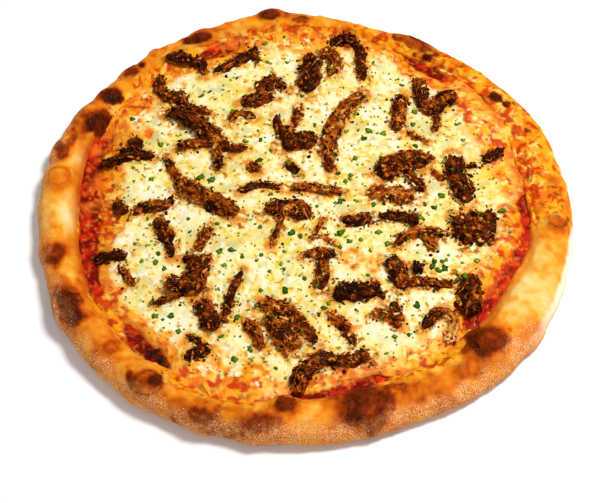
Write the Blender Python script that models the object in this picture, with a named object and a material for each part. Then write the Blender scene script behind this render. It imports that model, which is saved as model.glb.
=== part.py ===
"""A whole round pizza with shredded jerk chicken, at its real size, for Blender.

The pizza lies on its flat underside with +Z up and its origin at the middle of that underside.
+Y points away from whoever eats it. Angles run from +X towards +Y, as on paper.

Pieces, from below: the crust with its puffed rim, a thin coat of sauce, the melted cheese with the
largest parsley flakes fused to it, and one object for each clump of chicken.
"""

import math

import bpy
import numpy as np
from mathutils.bvhtree import BVHTree

MM = 0.001

# Heights of the layers, in metres.
BASE_TOP = 5.0 * MM
LAYER_GAP = 0.3 * MM
SAUCE_THICKNESS = 1.6 * MM
CHEESE_BOTTOM = BASE_TOP + LAYER_GAP + SAUCE_THICKNESS + LAYER_GAP
CHEESE_THICKNESS = 2.6 * MM
CHEESE_TOP = CHEESE_BOTTOM + CHEESE_THICKNESS

# The three outlines, as radii in millimetres at every 10 degrees from +X: the crust's outside, the
# foot of its rim inside, and the edge of the cheese. The sauce shows between the last two.
CRUST_RADII = (
    186, 185, 185, 183, 180, 177, 176, 175, 179, 184, 184, 180,
    180, 180, 180, 181, 181, 180, 179, 177, 178, 179, 180, 180,
    179, 178, 177, 177, 177, 178, 181, 184, 186, 186, 186, 186,
)
RIM_FOOT_RADII = (
    158, 157, 161, 165, 164, 161, 161, 164, 166, 166, 166, 168,
    168, 165, 161, 159, 158, 154, 152, 152, 152, 152, 153, 154,
    156, 156, 151, 147, 146, 147, 149, 150, 150, 151, 155, 159,
)
CHEESE_RADII = (
    149, 149, 153, 156, 156, 150, 153, 156, 159, 160, 160, 151,
    158, 160, 155, 149, 140, 134, 131, 136, 144, 147, 142, 144,
    149, 151, 145, 138, 137, 138, 144, 142, 136, 134, 140, 148,
)
# The middle of the crust's box, on the grid that the radii are measured on.
MIDDLE = (3.46 * MM, 4.43 * MM)

# The rim. Its crest is highest towards the front left and lowest at the back right.
RIM_HEIGHT = 16.5 * MM
RIM_HEIGHT_SWING = 4.5 * MM
RIM_HIGH_ANGLE = 225.0
UNDERSIDE_INSET = 13.0 * MM
RIM_WAVES = ((7, 0.7, 1.1), (13, 0.5, 4.0), (23, 0.35, 2.2))  # per turn, millimetres, phase

# Blisters on the rim: where each is, then its radius and its lift, all in millimetres.
BLISTERS = (
    (-15, 180, 10, 3.5), (9, 171, 7, 2.5), (22, 170, 6, 2.0), (-66, 159, 9, 2.5),
    (-102, 143, 5, 1.5), (-121, 127, 8, 2.5), (-134, 104, 9, 3.0), (-144, 82, 14, 3.5),
    (-168, 56, 9, 2.5), (-166, 32, 11, 2.5), (-170, -29, 10, 2.0), (-155, -76, 12, 2.5),
    (-100, -131, 14, 4.0), (-66, -159, 9, 2.0), (-34, -164, 12, 2.5), (-16, -152, 8, 2.5),
    (34, -157, 16, 4.0), (115, -117, 15, 3.5), (147, -113, 9, 1.5), (174, -25, 10, 2.5),
    (177, 8, 9, 2.0), (152, 77, 7, 1.5), (145, 88, 7, 2.0), (92, 145, 17, 2.5),
)

# The chicken: each clump is one or more shreds, and a shred is its greatest width and then the
# points that it runs through, in millimetres.
CHICKEN = (
    (
        (8, (-93, 141), (-82, 140), (-71, 135)),
        (5, (-84, 139), (-82, 147)),
        (8, (-75, 136), (-67, 135), (-65, 123)),
    ),
    ((8, (-57, 127), (-46, 132), (-35, 139), (-26, 147)), (5, (-28, 143), (-25, 133))),
    (
        (7, (-97, 125), (-98, 114), (-95, 103)),
        (11, (-97, 104), (-88, 104), (-80, 101)),
        (9, (-84, 104), (-80, 96), (-80, 86)),
        (13, (-91, 88), (-82, 85), (-72, 78), (-64, 70), (-56, 61), (-48, 51)),
        (6, (-78, 89), (-70, 90), (-60, 86)),
        (7, (-84, 56), (-74, 59), (-55, 57)),
        (6, (-58, 64), (-55, 46), (-55, 34)),
        (4, (-54, 56), (-44, 52), (-34, 52)),
    ),
    (
        (10, (-27, 106), (-17, 114), (-5, 107)),
        (11, (-38, 93), (-28, 97), (-15, 99)),
        (8, (-17, 111), (-18, 99)),
    ),
    ((6, (-47, 78), (-41, 85), (-34, 84), (-28, 80)),),
    ((7, (-13, 82), (-12, 72), (-9, 64), (-5, 56)), (14, (-10, 53), (2, 56), (15, 56))),
    ((6, (3, 89), (1, 78), (-2, 69)),),
    ((12, (50, 98), (38, 86), (29, 70), (23, 50), (22, 42)), (7, (22, 46), (22, 36), (24, 28))),
    ((14, (14, 138), (13, 126), (12, 113), (11, 102)),),
    ((11, (21, 135), (28, 139), (31, 129), (28, 117)),),
    ((10, (29, 147), (38, 151), (49, 150)), (8, (42, 152), (50, 142), (50, 126), (52, 111))),
    ((10, (78, 95), (76, 83), (73, 70), (73, 62)),),
    (
        (5, (89, 110), (91, 98)),
        (10, (93, 108), (91, 96), (93, 82)),
        (12, (91, 84), (102, 82), (110, 90), (118, 90)),
        (5, (101, 84), (101, 70), (100, 60)),
    ),
    ((5, (80, 61), (86, 55), (93, 50)),),
    (
        (17, (58, 21), (64, 29), (72, 34)),
        (14, (68, 30), (82, 36), (90, 30)),
        (8, (76, 29), (81, 16), (86, 7)),
    ),
    ((12, (48, 6), (59, 8), (69, 5), (79, 2)),),
    ((6, (93, 25), (97, 20), (101, 16)),),
    ((14, (109, 36), (110, 22), (112, 8), (115, -4)), (4, (111, 28), (120, 27), (125, 28))),
    ((8, (129, 32), (137, 35), (145, 41)),),
    ((13, (106, -15), (109, -26), (112, -38)), (23, (112, -23), (132, -26))),
    ((9, (28, -13), (40, -14), (49, -12)),),
    ((9, (54, -12), (65, -12), (75, -15), (80, -19)),),
    ((8, (62, -36), (71, -29), (83, -27), (93, -28), (101, -29)), (7, (83, -28), (89, -40))),
    ((11, (56, -47), (63, -54), (63, -70)), (7, (60, -68), (75, -66), (89, -68), (98, -71))),
    ((10, (73, -55), (80, -56)),),
    ((15, (108, -62), (109, -78), (105, -94)),),
    ((12, (19, -73), (34, -71), (49, -72)), (6, (46, -64), (52, -78))),
    ((7, (15, -86), (23, -94), (28, -103), (31, -111)),),
    ((7, (43, -87), (52, -90), (60, -100)), (7, (57, -80), (60, -88), (61, -99))),
    ((8, (76, -101), (83, -92), (93, -89)), (7, (90, -87), (96, -96), (93, -106), (90, -114))),
    ((9, (-37, -88), (-32, -99), (-27, -110)),),
    (
        (9, (-31, -76), (-20, -79), (-9, -82)),
        (15, (-22, -80), (-16, -98), (-8, -113)),
        (9, (-11, -80), (-1, -98), (7, -108)),
    ),
    ((12, (-5, -144), (-3, -132), (5, -123), (18, -119)), (9, (13, -122), (28, -122), (40, -119))),
    ((8, (-140, -35), (-129, -34), (-117, -34)),),
    ((6, (-122, -42), (-116, -50), (-113, -58)),),
    ((10, (-98, -4), (-93, -15), (-88, -25)), (5, (-89, -22), (-87, -37))),
    ((7, (-61, -13), (-66, -23), (-70, -33)),),
    (
        (6, (-80, -38), (-70, -40), (-60, -38)),
        (14, (-70, -38), (-69, -52), (-71, -66)),
        (12, (-91, -58), (-80, -61), (-67, -62)),
        (4, (-99, -73), (-87, -69), (-74, -63)),
    ),
    ((13, (-67, -72), (-63, -83), (-58, -95)),),
    ((6, (-40, -50), (-46, -64), (-50, -78), (-52, -90)),),
    ((8, (-78, -115), (-70, -111), (-61, -110)), (5, (-75, -99), (-69, -103), (-67, -112))),
    (
        (8, (-139, 44), (-126, 48), (-113, 52), (-100, 50)),
        (9, (-115, 68), (-113, 52)),
        (6, (-125, 55), (-118, 54)),
    ),
    ((6, (-93, 51), (-89, 40), (-84, 29), (-80, 20)), (13, (-85, 25), (-70, 15), (-57, 6), (-43, -5))),
    ((9, (-127, 11), (-119, 1)),),
    ((8, (-114, 0), (-105, 6), (-94, 6), (-86, 11)),),
    ((6, (-41, 15), (-28, 20), (-13, 16)),),
    ((8, (-34, 39), (-28, 32)),),
    ((7, (-7, 38), (0, 29)),),
    ((8, (-5, 16), (7, 16), (18, 13), (30, 9)),),
    ((13, (-23, -4), (-12, -1), (0, -3), (2, -12)), (5, (-10, -2), (-15, -17), (-21, -31))),
    ((4, (16, -9), (12, -19), (7, -28)), (4, (5, -25), (16, -27), (23, -34))),
    ((8, (1, -40), (12, -40), (23, -42)), (9, (13, -39), (14, -54), (11, -68))),
)

CHICKEN_SIDES = 7
CHICKEN_RING_STEP = 8.5 * MM
SHRED_STACK = 0.45 * MM

# Parsley flakes large enough to fuse to the cheese: where each is and its width, in millimetres.
FLAKES = (
    (-41, 119, 3.4), (60, 128, 4.2), (-67, 104, 5.2), (-61, 107, 3.6), (-45, 87, 3.6), (44, 80, 4.0),
    (36, 64, 4.8), (48, 57, 5.2), (52, 64, 5.0), (62, 61, 4.8), (-36, 60, 4.8), (-25, 60, 4.2),
    (-68, 30, 6.4), (-60, 27, 6.4), (41, 40, 4.4), (59, 36, 4.2), (28, 27, 3.6), (37, 25, 4.0),
    (33, 20, 4.2), (28, 3, 5.0), (39, 3, 3.8), (-56, -11, 4.2), (-27, -15, 3.4), (-46, -33, 5.6),
    (-40, -38, 4.2), (-55, -34, 4.4), (-52, -45, 4.6), (27, -23, 5.2), (33, -30, 4.8), (53, -24, 5.2),
    (58, -34, 4.4), (1, -58, 4.2), (-12, -67, 5.4), (-6, -21, 4.8), (-98, -40, 4.4), (-92, -45, 4.0),
    (-97, -82, 4.6), (-87, -82, 5.0), (-82, -94, 5.0), (-36, -110, 4.8), (-36, -117, 4.6),
    (-46, -117, 4.6), (-54, -99, 4.2), (57, -106, 4.2), (51, -118, 3.6), (73, -83, 5.2),
    (86, -54, 5.4), (94, -56, 5.2), (82, -14, 4.6), (137, -11, 5.6), (98, 4, 5.2), (116, 66, 4.4),
    (84, 68, 4.2), (-96, 61, 5.4), (-102, 30, 4.2), (79, 105, 4.2), (118, 51, 3.6), (116, -51, 4.0),
)
FLAKE_LIFT = 0.8 * MM

RIM_STEPS = 112
CHEESE_CELLS = 38

COLOURS = {
    "crust": (0.72, 0.40, 0.12, 0.75, 0.0),
    "sauce": (0.42, 0.03, 0.01, 0.30, 0.0),
    "cheese": (0.87, 0.78, 0.49, 0.40, 0.0),
    "chicken": (0.14, 0.045, 0.015, 0.55, 0.0),
}


def start_clean():
    for thing in list(bpy.data.objects):
        bpy.data.objects.remove(thing, do_unlink=True)


def finish_of(name):
    """The plain finish of that name: colour, then roughness, then how metallic it is."""
    made = bpy.data.materials.get(name)
    if made is None:
        red, green, blue, roughness, metallic = COLOURS[name]
        made = bpy.data.materials.new(name)
        made.use_nodes = True
        shader = made.node_tree.nodes["Principled BSDF"]
        shader.inputs["Base Color"].default_value = (red, green, blue, 1.0)
        shader.inputs["Roughness"].default_value = roughness
        shader.inputs["Metallic"].default_value = metallic
    return made


def solid(name, points, faces, finish):
    """One object in the scene, from its points and faces."""
    mesh = bpy.data.meshes.new(name)
    mesh.from_pydata([tuple(point) for point in points], [], faces)
    mesh.shade_smooth()
    made = bpy.data.objects.new(name, mesh)
    made.data.materials.append(finish_of(finish))
    bpy.context.scene.collection.objects.link(made)
    return made


def loft(rings, first_pole=None, last_pole=None):
    """Points and faces of a closed skin over rings of equal count. A pole closes an end with a fan,
    and an end with no pole is closed by one flat face."""
    count = len(rings[0])
    points = [tuple(point) for ring in rings for point in ring]
    faces = []
    for ring in range(len(rings) - 1):
        low, high = ring * count, (ring + 1) * count
        for here in range(count):
            after = (here + 1) % count
            faces.append((low + here, low + after, high + after, high + here))
    last = (len(rings) - 1) * count
    if first_pole is None:
        faces.append(tuple(range(count))[::-1])
    else:
        points.append(tuple(first_pole))
        faces += [((here + 1) % count, here, len(points) - 1) for here in range(count)]
    if last_pole is None:
        faces.append(tuple(last + here for here in range(count)))
    else:
        points.append(tuple(last_pole))
        faces += [(last + here, last + (here + 1) % count, len(points) - 1) for here in range(count)]
    return points, faces


def smooth_through(knots, share, closed=False):
    """The Catmull-Rom curve through the knots, at each share of its course from 0 to 1."""
    knots = np.asarray(knots, float)
    count = len(knots)
    if closed:
        place = np.asarray(share, float) % 1.0 * count
        first = np.floor(place).astype(int)
        near = [knots[(first + step) % count] for step in (-1, 0, 1, 2)]
    else:
        place = np.asarray(share, float) * (count - 1)
        first = np.minimum(np.floor(place).astype(int), count - 2)
        ends = np.concatenate([[2 * knots[0] - knots[1]], knots, [2 * knots[-1] - knots[-2]]])
        near = [ends[first + step] for step in (0, 1, 2, 3)]
    t = place - first
    t = t.reshape(t.shape + (1,) * (knots.ndim - 1))
    before, here, after, beyond = near
    return here + 0.5 * t * (
        after - before
        + t * (2 * before - 5 * here + 4 * after - beyond + t * (3 * (here - after) + beyond - before))
    )


def outline(radii, angle):
    """Radius in metres at an angle in radians, smoothly through a table of radii in millimetres."""
    return smooth_through(radii, np.asarray(angle) / math.tau, closed=True) * MM


def rim_height(angle):
    swing = RIM_HEIGHT_SWING * np.cos(angle - math.radians(RIM_HIGH_ANGLE))
    waves = sum(size * MM * np.sin(turns * angle + phase) for turns, size, phase in RIM_WAVES)
    return RIM_HEIGHT + swing + waves


def rim_section(angle, share):
    """Radius and height of the rim's skin. Share runs from 0, where it leaves the flat underside,
    round the outside and over the crest, to 1, where it meets the base inside."""
    outer, foot, height = outline(CRUST_RADII, angle), outline(RIM_FOOT_RADII, angle), rim_height(angle)
    width = outer - foot
    radius = (
        outer - UNDERSIDE_INSET, outer - 4.5 * MM, outer - 0.8 * MM, outer,
        outer - 0.10 * width, outer - 0.30 * width, outer - 0.52 * width,
        outer - 0.75 * width, outer - 0.91 * width, foot, foot - 3.0 * MM,
    )
    level = (
        0.0 * height, 0.7 * MM + 0 * height, 0.24 * height, 0.50 * height,
        0.78 * height, 0.96 * height, height,
        0.88 * height, 0.64 * height, BASE_TOP + 2.4 * MM + 0 * height, BASE_TOP + 0 * height,
    )
    return smooth_through(radius, share), smooth_through(level, share)


def blister_lift(x, y):
    """How far the blisters raise the rim's skin at a point."""
    lift = np.zeros_like(x)
    for across, away, size, rise in BLISTERS:
        near = np.hypot(x - across * MM, y - away * MM) / (size * MM)
        lift += rise * MM * np.exp(-1.2 * near**4)
    return lift


def crust():
    angle = np.arange(RIM_STEPS) * math.tau / RIM_STEPS
    rings = []
    for share in (0.0, 0.08, 0.17, 0.27, 0.37, 0.47, 0.57, 0.67, 0.77, 0.86, 0.93, 1.0):
        radius, level = rim_section(angle, np.full(1, share))
        ahead, rise = rim_section(angle, np.full(1, min(share + 0.01, 1.0)))
        behind, drop = rim_section(angle, np.full(1, max(share - 0.01, 0.0)))
        radius, level = radius[0], level[0]
        along = np.stack([(ahead - behind)[0], (rise - drop)[0]])
        along /= np.linalg.norm(along, axis=0)
        upper = min(max((share - 0.15) / 0.2, 0.0), 1.0) * min(max((0.98 - share) / 0.15, 0.0), 1.0)
        lift = upper * blister_lift(radius * np.cos(angle), radius * np.sin(angle))
        radius = radius + lift * along[1]
        level = level - lift * along[0]
        rings.append(np.stack([radius * np.cos(angle), radius * np.sin(angle), level], axis=1))
    points, faces = loft(rings)
    return solid("crust", shifted(points), faces, "crust")


def shifted(points):
    """The points with the middle of the crust's box moved to the origin."""
    return np.asarray(points, float) - (*MIDDLE, 0.0)


def sauce():
    angle = np.arange(RIM_STEPS) * math.tau / RIM_STEPS
    foot = outline(RIM_FOOT_RADII, angle)
    low, high = BASE_TOP + LAYER_GAP, BASE_TOP + LAYER_GAP + SAUCE_THICKNESS
    rings = []
    for inset, level in ((3.7 * MM, low), (3.0 * MM, low + 0.6 * MM), (2.7 * MM, high - 0.5 * MM), (3.8 * MM, high)):
        radius = foot - inset
        rings.append(np.stack([radius * np.cos(angle), radius * np.sin(angle), np.full_like(angle, level)], axis=1))
    points, faces = loft(rings)
    return solid("sauce", shifted(points), faces, "sauce")


def shred_points(shred, count):
    """The middle line of a shred, at so many evenly spaced shares."""
    return smooth_through(np.array(shred[1:], float) * MM, np.linspace(0, 1, count))


def clearance(x, y):
    """Distance in metres from each point to the nearest shred's side, negative under a shred."""
    best = np.full(np.shape(x), 1.0)
    for clump in CHICKEN:
        for shred in clump:
            for centre in shred_points(shred, 24):
                best = np.minimum(best, np.hypot(x - centre[0], y - centre[1]) - shred[0] * MM / 2)
    return best


def cheese_relief(x, y):
    """Soft hummocks of melted cheese, flat where chicken lies on it."""
    hummocks = (
        np.sin(x / (9.5 * MM) + 1.3 * np.sin(y / (17 * MM)))
        + np.sin(y / (8.5 * MM) + 1.7 * np.sin(x / (15 * MM)))
    )
    open_cheese = np.clip((clearance(x, y) - 7 * MM) / (8 * MM), 0, 1)
    return (0.75 * MM + 0.45 * MM * hummocks) * open_cheese


def cheese():
    """A square grid bent to a disc, so that its cells stay about equal, over one flat face."""
    side = np.linspace(-1, 1, CHEESE_CELLS + 1)
    u, v = np.meshgrid(side, side, indexing="ij")
    x, y = u * np.sqrt(1 - v**2 / 2), v * np.sqrt(1 - u**2 / 2)
    share, angle = np.hypot(x, y), np.arctan2(y, x)
    edge = outline(CHEESE_RADII, angle) + 1.6 * MM * np.sin(17 * angle) + 1.1 * MM * np.sin(29 * angle + 1)
    edge = np.minimum(edge, outline(RIM_FOOT_RADII, angle) - 3.2 * MM)
    x, y = edge * share * np.cos(angle), edge * share * np.sin(angle)
    fall = 1 - np.clip((share - 0.955) / 0.045, 0, 1) ** 2 * 0.55
    top = CHEESE_BOTTOM + (CHEESE_THICKNESS + cheese_relief(x, y)) * fall
    count = CHEESE_CELLS + 1
    at = np.arange(count * count).reshape(count, count)
    points = np.stack([x.ravel(), y.ravel(), top.ravel()], axis=1)
    faces = [
        (at[i, j], at[i + 1, j], at[i + 1, j + 1], at[i, j + 1])
        for i in range(CHEESE_CELLS)
        for j in range(CHEESE_CELLS)
    ]
    loop = list(at[:-1, 0]) + list(at[-1, :-1]) + list(at[:0:-1, -1]) + list(at[0, :0:-1])
    under = points[loop] - (0, 0, 1) * (points[loop] - CHEESE_BOTTOM)
    first = len(points)
    points = np.concatenate([points, under])
    steps = len(loop)
    for here in range(steps):
        after = (here + 1) % steps
        faces.append((loop[after], loop[here], first + here, first + after))
    faces.append(tuple(first + here for here in range(steps))[::-1])
    faces = [tuple(int(corner) for corner in face) for face in faces]
    slab = solid("cheese", shifted(points), faces, "cheese")
    join(slab, flakes())
    return slab


def flakes():
    """Parsley: low five-sided flakes on the open cheese. One that would reach a shred or the edge
    of the cheese is left out."""
    draw = np.random.default_rng(7)
    made = []
    for across, away, width in FLAKES:
        x, y, size, turn = across * MM, away * MM, width * MM / 2, draw.uniform(0, math.tau)
        corner = turn + np.arange(5) * math.tau / 5
        reach = size * (1 + 0.25 * np.sin(2 * corner))
        near_edge = math.hypot(x, y) > outline(CHEESE_RADII, math.atan2(y, x)) - 8 * MM
        if clearance(np.array(x), np.array(y)) < reach.max() + 0.6 * MM or near_edge:
            continue
        level = CHEESE_TOP + float(cheese_relief(np.array(x), np.array(y)))
        ring = np.stack([x + reach * np.cos(corner), y + reach * np.sin(corner), np.full(5, level)], axis=1)
        points, faces = loft([ring], (x, y, level - FLAKE_LIFT), (x, y, level + FLAKE_LIFT))
        made.append(solid(f"flake_{len(made)}", shifted(points), faces, "cheese"))
    return made


def surface_of(bodies):
    """The skins of the bodies together, ready for rays."""
    points, faces = [], []
    for body in bodies:
        faces += [[len(points) + corner for corner in face.vertices] for face in body.data.polygons]
        points += [vertex.co for vertex in body.data.vertices]
    return BVHTree.FromPolygons(points, faces)


def highest_under(skin, places):
    """The highest level of the skin at any of the places, which are on the unshifted grid."""
    down = (0.0, 0.0, -1.0)
    return max(skin.ray_cast((x - MIDDLE[0], y - MIDDLE[1], 1.0), down)[0].z for x, y in places)


def shred_solid(name, shred, skin, lift, draw):
    """One shred: a low arch with a flat underside, carried along its middle line, with ragged sides
    and narrowing to each end. Each ring rests just above the highest cheese near it."""
    width = shred[0] * MM
    knots = np.array(shred[1:], float) * MM
    length = np.linalg.norm(np.diff(knots, axis=0), axis=1).sum()
    count = max(4, round(length / CHICKEN_RING_STEP) + 1)
    share = 0.5 - 0.5 * np.cos(np.linspace(0.13, 0.87, count) * math.pi)
    share = (share - share[0]) / (share[-1] - share[0]) * 0.86 + 0.07
    middle = smooth_through(knots, share)
    ahead = smooth_through(knots, share + 0.02) - smooth_through(knots, share - 0.02)
    ahead /= np.linalg.norm(ahead, axis=1)[:, None]
    sideways = np.stack([-ahead[:, 1], ahead[:, 0]], axis=1)
    swell = (1 - np.abs(2 * share - 1) ** 3.2) ** 0.5
    height = np.clip(0.52 * width, 2.2 * MM, 7.0 * MM)
    arch = np.linspace(0, math.pi, CHICKEN_SIDES)
    line = smooth_through(knots, np.linspace(0, 1, 4 * count))
    levels = []
    for step in range(count):
        near = line[np.hypot(*(line - middle[step]).T) < 1.2 * CHICKEN_RING_STEP]
        spread = [place + side * width / 2 * sideways[step] for place in near for side in (-1, 0, 1)]
        levels.append(highest_under(skin, spread) + LAYER_GAP + lift)
    rings = []
    for step in range(count):
        level = levels[step]
        ragged = 1 + 0.13 * draw.uniform(-1, 1, CHICKEN_SIDES)
        across = -np.cos(arch) * width / 2 * swell[step] * np.minimum(ragged, 1.0)
        up = np.sin(arch) ** 0.8 * height * (0.35 + 0.65 * swell[step]) * ragged
        plan = middle[step] + across[:, None] * sideways[step]
        rings.append(np.column_stack([plan, level + up])[::-1])
    ends = smooth_through(knots, np.array((0.0, 1.0)))
    tips = [(*end, level + 0.25 * height) for end, level in zip(ends, (levels[0], levels[-1]))]
    points, faces = loft(rings, *tips)
    return solid(name, shifted(points), faces, "chicken")


def join(body, others):
    """Fuses the others to the body with one Boolean union, and removes them."""
    if not others:
        return
    group = bpy.data.collections.new(body.name + "_joined")
    bpy.context.scene.collection.children.link(group)
    for other in others:
        bpy.context.scene.collection.objects.unlink(other)
        group.objects.link(other)
    union = body.modifiers.new("Join", "BOOLEAN")
    union.operation = "UNION"
    union.operand_type = "COLLECTION"
    union.collection = group
    union.solver = "MANIFOLD"
    bpy.context.view_layer.update()
    graph = bpy.context.evaluated_depsgraph_get()
    joined = bpy.data.meshes.new_from_object(body.evaluated_get(graph))
    joined.shade_smooth()
    body.modifiers.clear()
    body.data = joined
    for other in list(group.objects):
        bpy.data.objects.remove(other, do_unlink=True)
    bpy.data.collections.remove(group)


def chicken(skin):
    for number, clump in enumerate(CHICKEN, start=1):
        draw = np.random.default_rng(number)
        name = f"chicken_{number:02d}"
        shreds = []
        for layer, shred in enumerate(clump):
            shreds.append(shred_solid(f"{name}_{layer}", shred, skin, layer * SHRED_STACK, draw))
        shreds[0].name = name
        join(shreds[0], shreds[1:])


start_clean()
layers = (crust(), sauce(), cheese())
chicken(surface_of(layers))
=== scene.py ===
# %% [markdown]
# # A whole pizza with jerk chicken
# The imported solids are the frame. They say how large the pizza is and where each piece of it lies.
# A solid has few faces, so it can't show crumb, fibres or melted cheese. Crust, sauce, cheese and
# meat are made below as finer skins over those solids: each starts from the same outlines and the
# same section, and then gets the small relief and the finish of the real food. Loose fibres, lumps,
# crumbs, flakes and grains are strewn over them.

import math

import bpy
import numpy as np
from mathutils import Matrix, Vector


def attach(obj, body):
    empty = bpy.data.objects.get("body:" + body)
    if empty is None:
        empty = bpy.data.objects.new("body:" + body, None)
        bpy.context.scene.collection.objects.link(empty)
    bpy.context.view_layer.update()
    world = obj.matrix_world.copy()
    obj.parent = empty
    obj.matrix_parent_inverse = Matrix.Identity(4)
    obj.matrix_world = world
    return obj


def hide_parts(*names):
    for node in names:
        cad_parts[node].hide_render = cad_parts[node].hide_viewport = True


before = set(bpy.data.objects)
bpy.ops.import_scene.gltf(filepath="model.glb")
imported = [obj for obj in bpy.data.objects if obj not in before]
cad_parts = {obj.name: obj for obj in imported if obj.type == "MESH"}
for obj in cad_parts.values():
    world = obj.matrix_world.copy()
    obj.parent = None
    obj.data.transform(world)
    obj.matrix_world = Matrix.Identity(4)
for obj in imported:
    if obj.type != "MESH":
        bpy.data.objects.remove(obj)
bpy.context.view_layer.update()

# %% [markdown]
# ## The outlines that everything hangs on
# The pizza was stretched by hand, so no part of it is a true circle. Three closed outlines hold its
# plan: the outside of the crust, the foot of the rim inside, and the edge of the cheese. Each is a
# radius at every ten degrees, with a smooth curve through them. Sizes below are in millimetres on a
# grid whose middle is near the middle of the pizza, and a piece is moved to the frame when its mesh
# is made.

# %% Outlines and heights, in millimetres
MM = 0.001
MIDDLE = np.array((3.46, 4.43, 0.0))
CRUST_RADII = (
    186, 185, 185, 183, 180, 177, 176, 175, 179, 184, 184, 180,
    180, 180, 180, 181, 181, 180, 179, 177, 178, 179, 180, 180,
    179, 178, 177, 177, 177, 178, 181, 184, 186, 186, 186, 186,
)
RIM_FOOT_RADII = (
    158, 157, 161, 165, 164, 161, 161, 164, 166, 166, 166, 168,
    168, 165, 161, 159, 158, 154, 152, 152, 152, 152, 153, 154,
    156, 156, 151, 147, 146, 147, 149, 150, 150, 151, 155, 159,
)
CHEESE_RADII = (
    149, 149, 153, 156, 156, 150, 153, 156, 159, 160, 160, 151,
    158, 160, 155, 149, 140, 134, 131, 136, 144, 147, 142, 144,
    149, 151, 145, 138, 137, 138, 144, 142, 136, 134, 140, 148,
)
BASE_TOP = 5.0
SAUCE_TOP = 6.9
CHEESE_TOP = 9.8


def smooth_through(knots, share, closed=False):
    """The Catmull-Rom curve through the knots, at each share of its course from 0 to 1."""
    knots = np.asarray(knots, float)
    count = len(knots)
    if closed:
        place = np.asarray(share, float) % 1.0 * count
        first = np.floor(place).astype(int)
        near = [knots[(first + step) % count] for step in (-1, 0, 1, 2)]
    else:
        place = np.asarray(share, float) * (count - 1)
        first = np.clip(np.floor(place).astype(int), 0, count - 2)
        ends = np.concatenate([[2 * knots[0] - knots[1]], knots, [2 * knots[-1] - knots[-2]]])
        near = [ends[first + step] for step in (0, 1, 2, 3)]
    t = place - first
    t = t.reshape(t.shape + (1,) * (knots.ndim - 1))
    before, here, after, beyond = near
    return here + 0.5 * t * (
        after - before
        + t * (2 * before - 5 * here + 4 * after - beyond + t * (3 * (here - after) + beyond - before))
    )


def outline(radii, angle):
    """Radius at an angle in radians: the smooth closed curve through a table of radii."""
    return smooth_through(radii, np.asarray(angle) / math.tau, closed=True)


print("crust across:", 2 * np.mean(CRUST_RADII), "mm on average")

# %% [markdown]
# ## Places and directions in plan
# Nearly everything on the pizza is laid out in plan, seen from above. These helpers turn angles into
# places and back, and turn places and directions about the middle, each for a whole array at once.


# %% Places in plan
def round_angles(count):
    """So many angles, evenly round a full turn."""
    return np.arange(count) * math.tau / count


def compass(angle):
    """The direction at each angle: its cosine and its sine."""
    return np.stack([np.cos(angle), np.sin(angle)], axis=-1)


def bearing(at):
    """The angle at which each place or direction lies."""
    return np.arctan2(at[:, 1], at[:, 0])


def leftward(ahead):
    """Each direction turned a quarter of a turn to the left: (x, y) becomes (-y, x)."""
    return np.column_stack([-ahead[:, 1], ahead[:, 0]])


def turned(x, y, angle):
    """The place (x, y) turned about the middle: x cos a - y sin a, and x sin a + y cos a."""
    return x * np.cos(angle) - y * np.sin(angle), x * np.sin(angle) + y * np.cos(angle)


def around(radius, angle, level):
    """A list of the points at each radius and angle round the middle, at their level."""
    x, y, z = np.broadcast_arrays(radius * np.cos(angle), radius * np.sin(angle), level)
    return np.stack([x, y, z], axis=-1).reshape(-1, 3)


def laid_flat(at):
    """The places as points of height 0, for noise that depends on the plan alone."""
    return np.column_stack([at[:, :2], np.zeros(len(at))])


print("a quarter of a turn takes (1, 0) to", np.round(turned(1.0, 0.0, math.pi / 2), 3))

# %% [markdown]
# ## Noise that repeats
# Nothing on food is even. Value noise gives a repeatable unevenness: every corner of a grid of
# cubes has its own fixed number, and a point takes a smooth blend of the eight corners round it.
# Adding finer and weaker layers makes it look grown. All of it works on whole arrays of points.


# %% Noise
CORNER_FACTORS = (73856093, 19349663, 83492791)
MIXING_FACTORS = (2246822519, 3266489917, 668265263)
LOW_BITS = np.uint64(0xFFFFFFFF)
NOISE_ORIGIN = 4096.37


def corner_value(cell, seed):
    """A fixed number from -1 to 1 for each cell of whole numbers, made by mixing its bits."""
    x, y, z = (cell[..., k].astype(np.uint64) * np.uint64(CORNER_FACTORS[k]) for k in range(3))
    mixed = (x ^ y ^ z) + np.uint64(seed * 7919 + 101)
    for factor in MIXING_FACTORS:
        mixed = (mixed ^ (mixed >> np.uint64(15))) * np.uint64(factor) & LOW_BITS
    return mixed / (LOW_BITS / 2) - 1.0


def eased(t):
    """3t^2 - 2t^3, which leaves 0 and reaches 1 gently."""
    return t * t * (3 - 2 * t)


def noise(points, size, seed):
    """Value noise from -1 to 1: the blend of the eight corner values round each point, with an eased
    weight along each axis. Size is the width of a cell."""
    scaled = np.asarray(points, float) / size + NOISE_ORIGIN
    cell = np.floor(scaled)
    t = eased(scaled - cell)
    total = 0.0
    for corner in range(8):
        step = np.array((corner & 1, corner >> 1 & 1, corner >> 2))
        total = total + corner_value(cell + step, seed) * np.prod(np.where(step, t, 1 - t), axis=-1)
    return total


def layered(points, size, seed, layers=3):
    """Noise of that size plus layers each half as large and half as strong."""
    return sum(noise(points, size / 2**layer, seed + layer) / 2**layer for layer in range(layers))


def warped(points, amount, size, seed):
    """The points, each moved up to that amount along every axis by noise, so that a mask worked out
    from them runs in streaks like marble."""
    return points + amount * np.stack([noise(points, size, seed + axis) for axis in range(3)], axis=-1)


def rising(low, high, value):
    """0 below low, 1 above high, and eased between."""
    return eased(np.clip((value - low) / (high - low), 0.0, 1.0))


def bell(value, middle, width):
    """1 at the middle and less on both sides: exp(-((value - middle) / width)^2)."""
    return np.exp(-(((value - middle) / width) ** 2))


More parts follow.
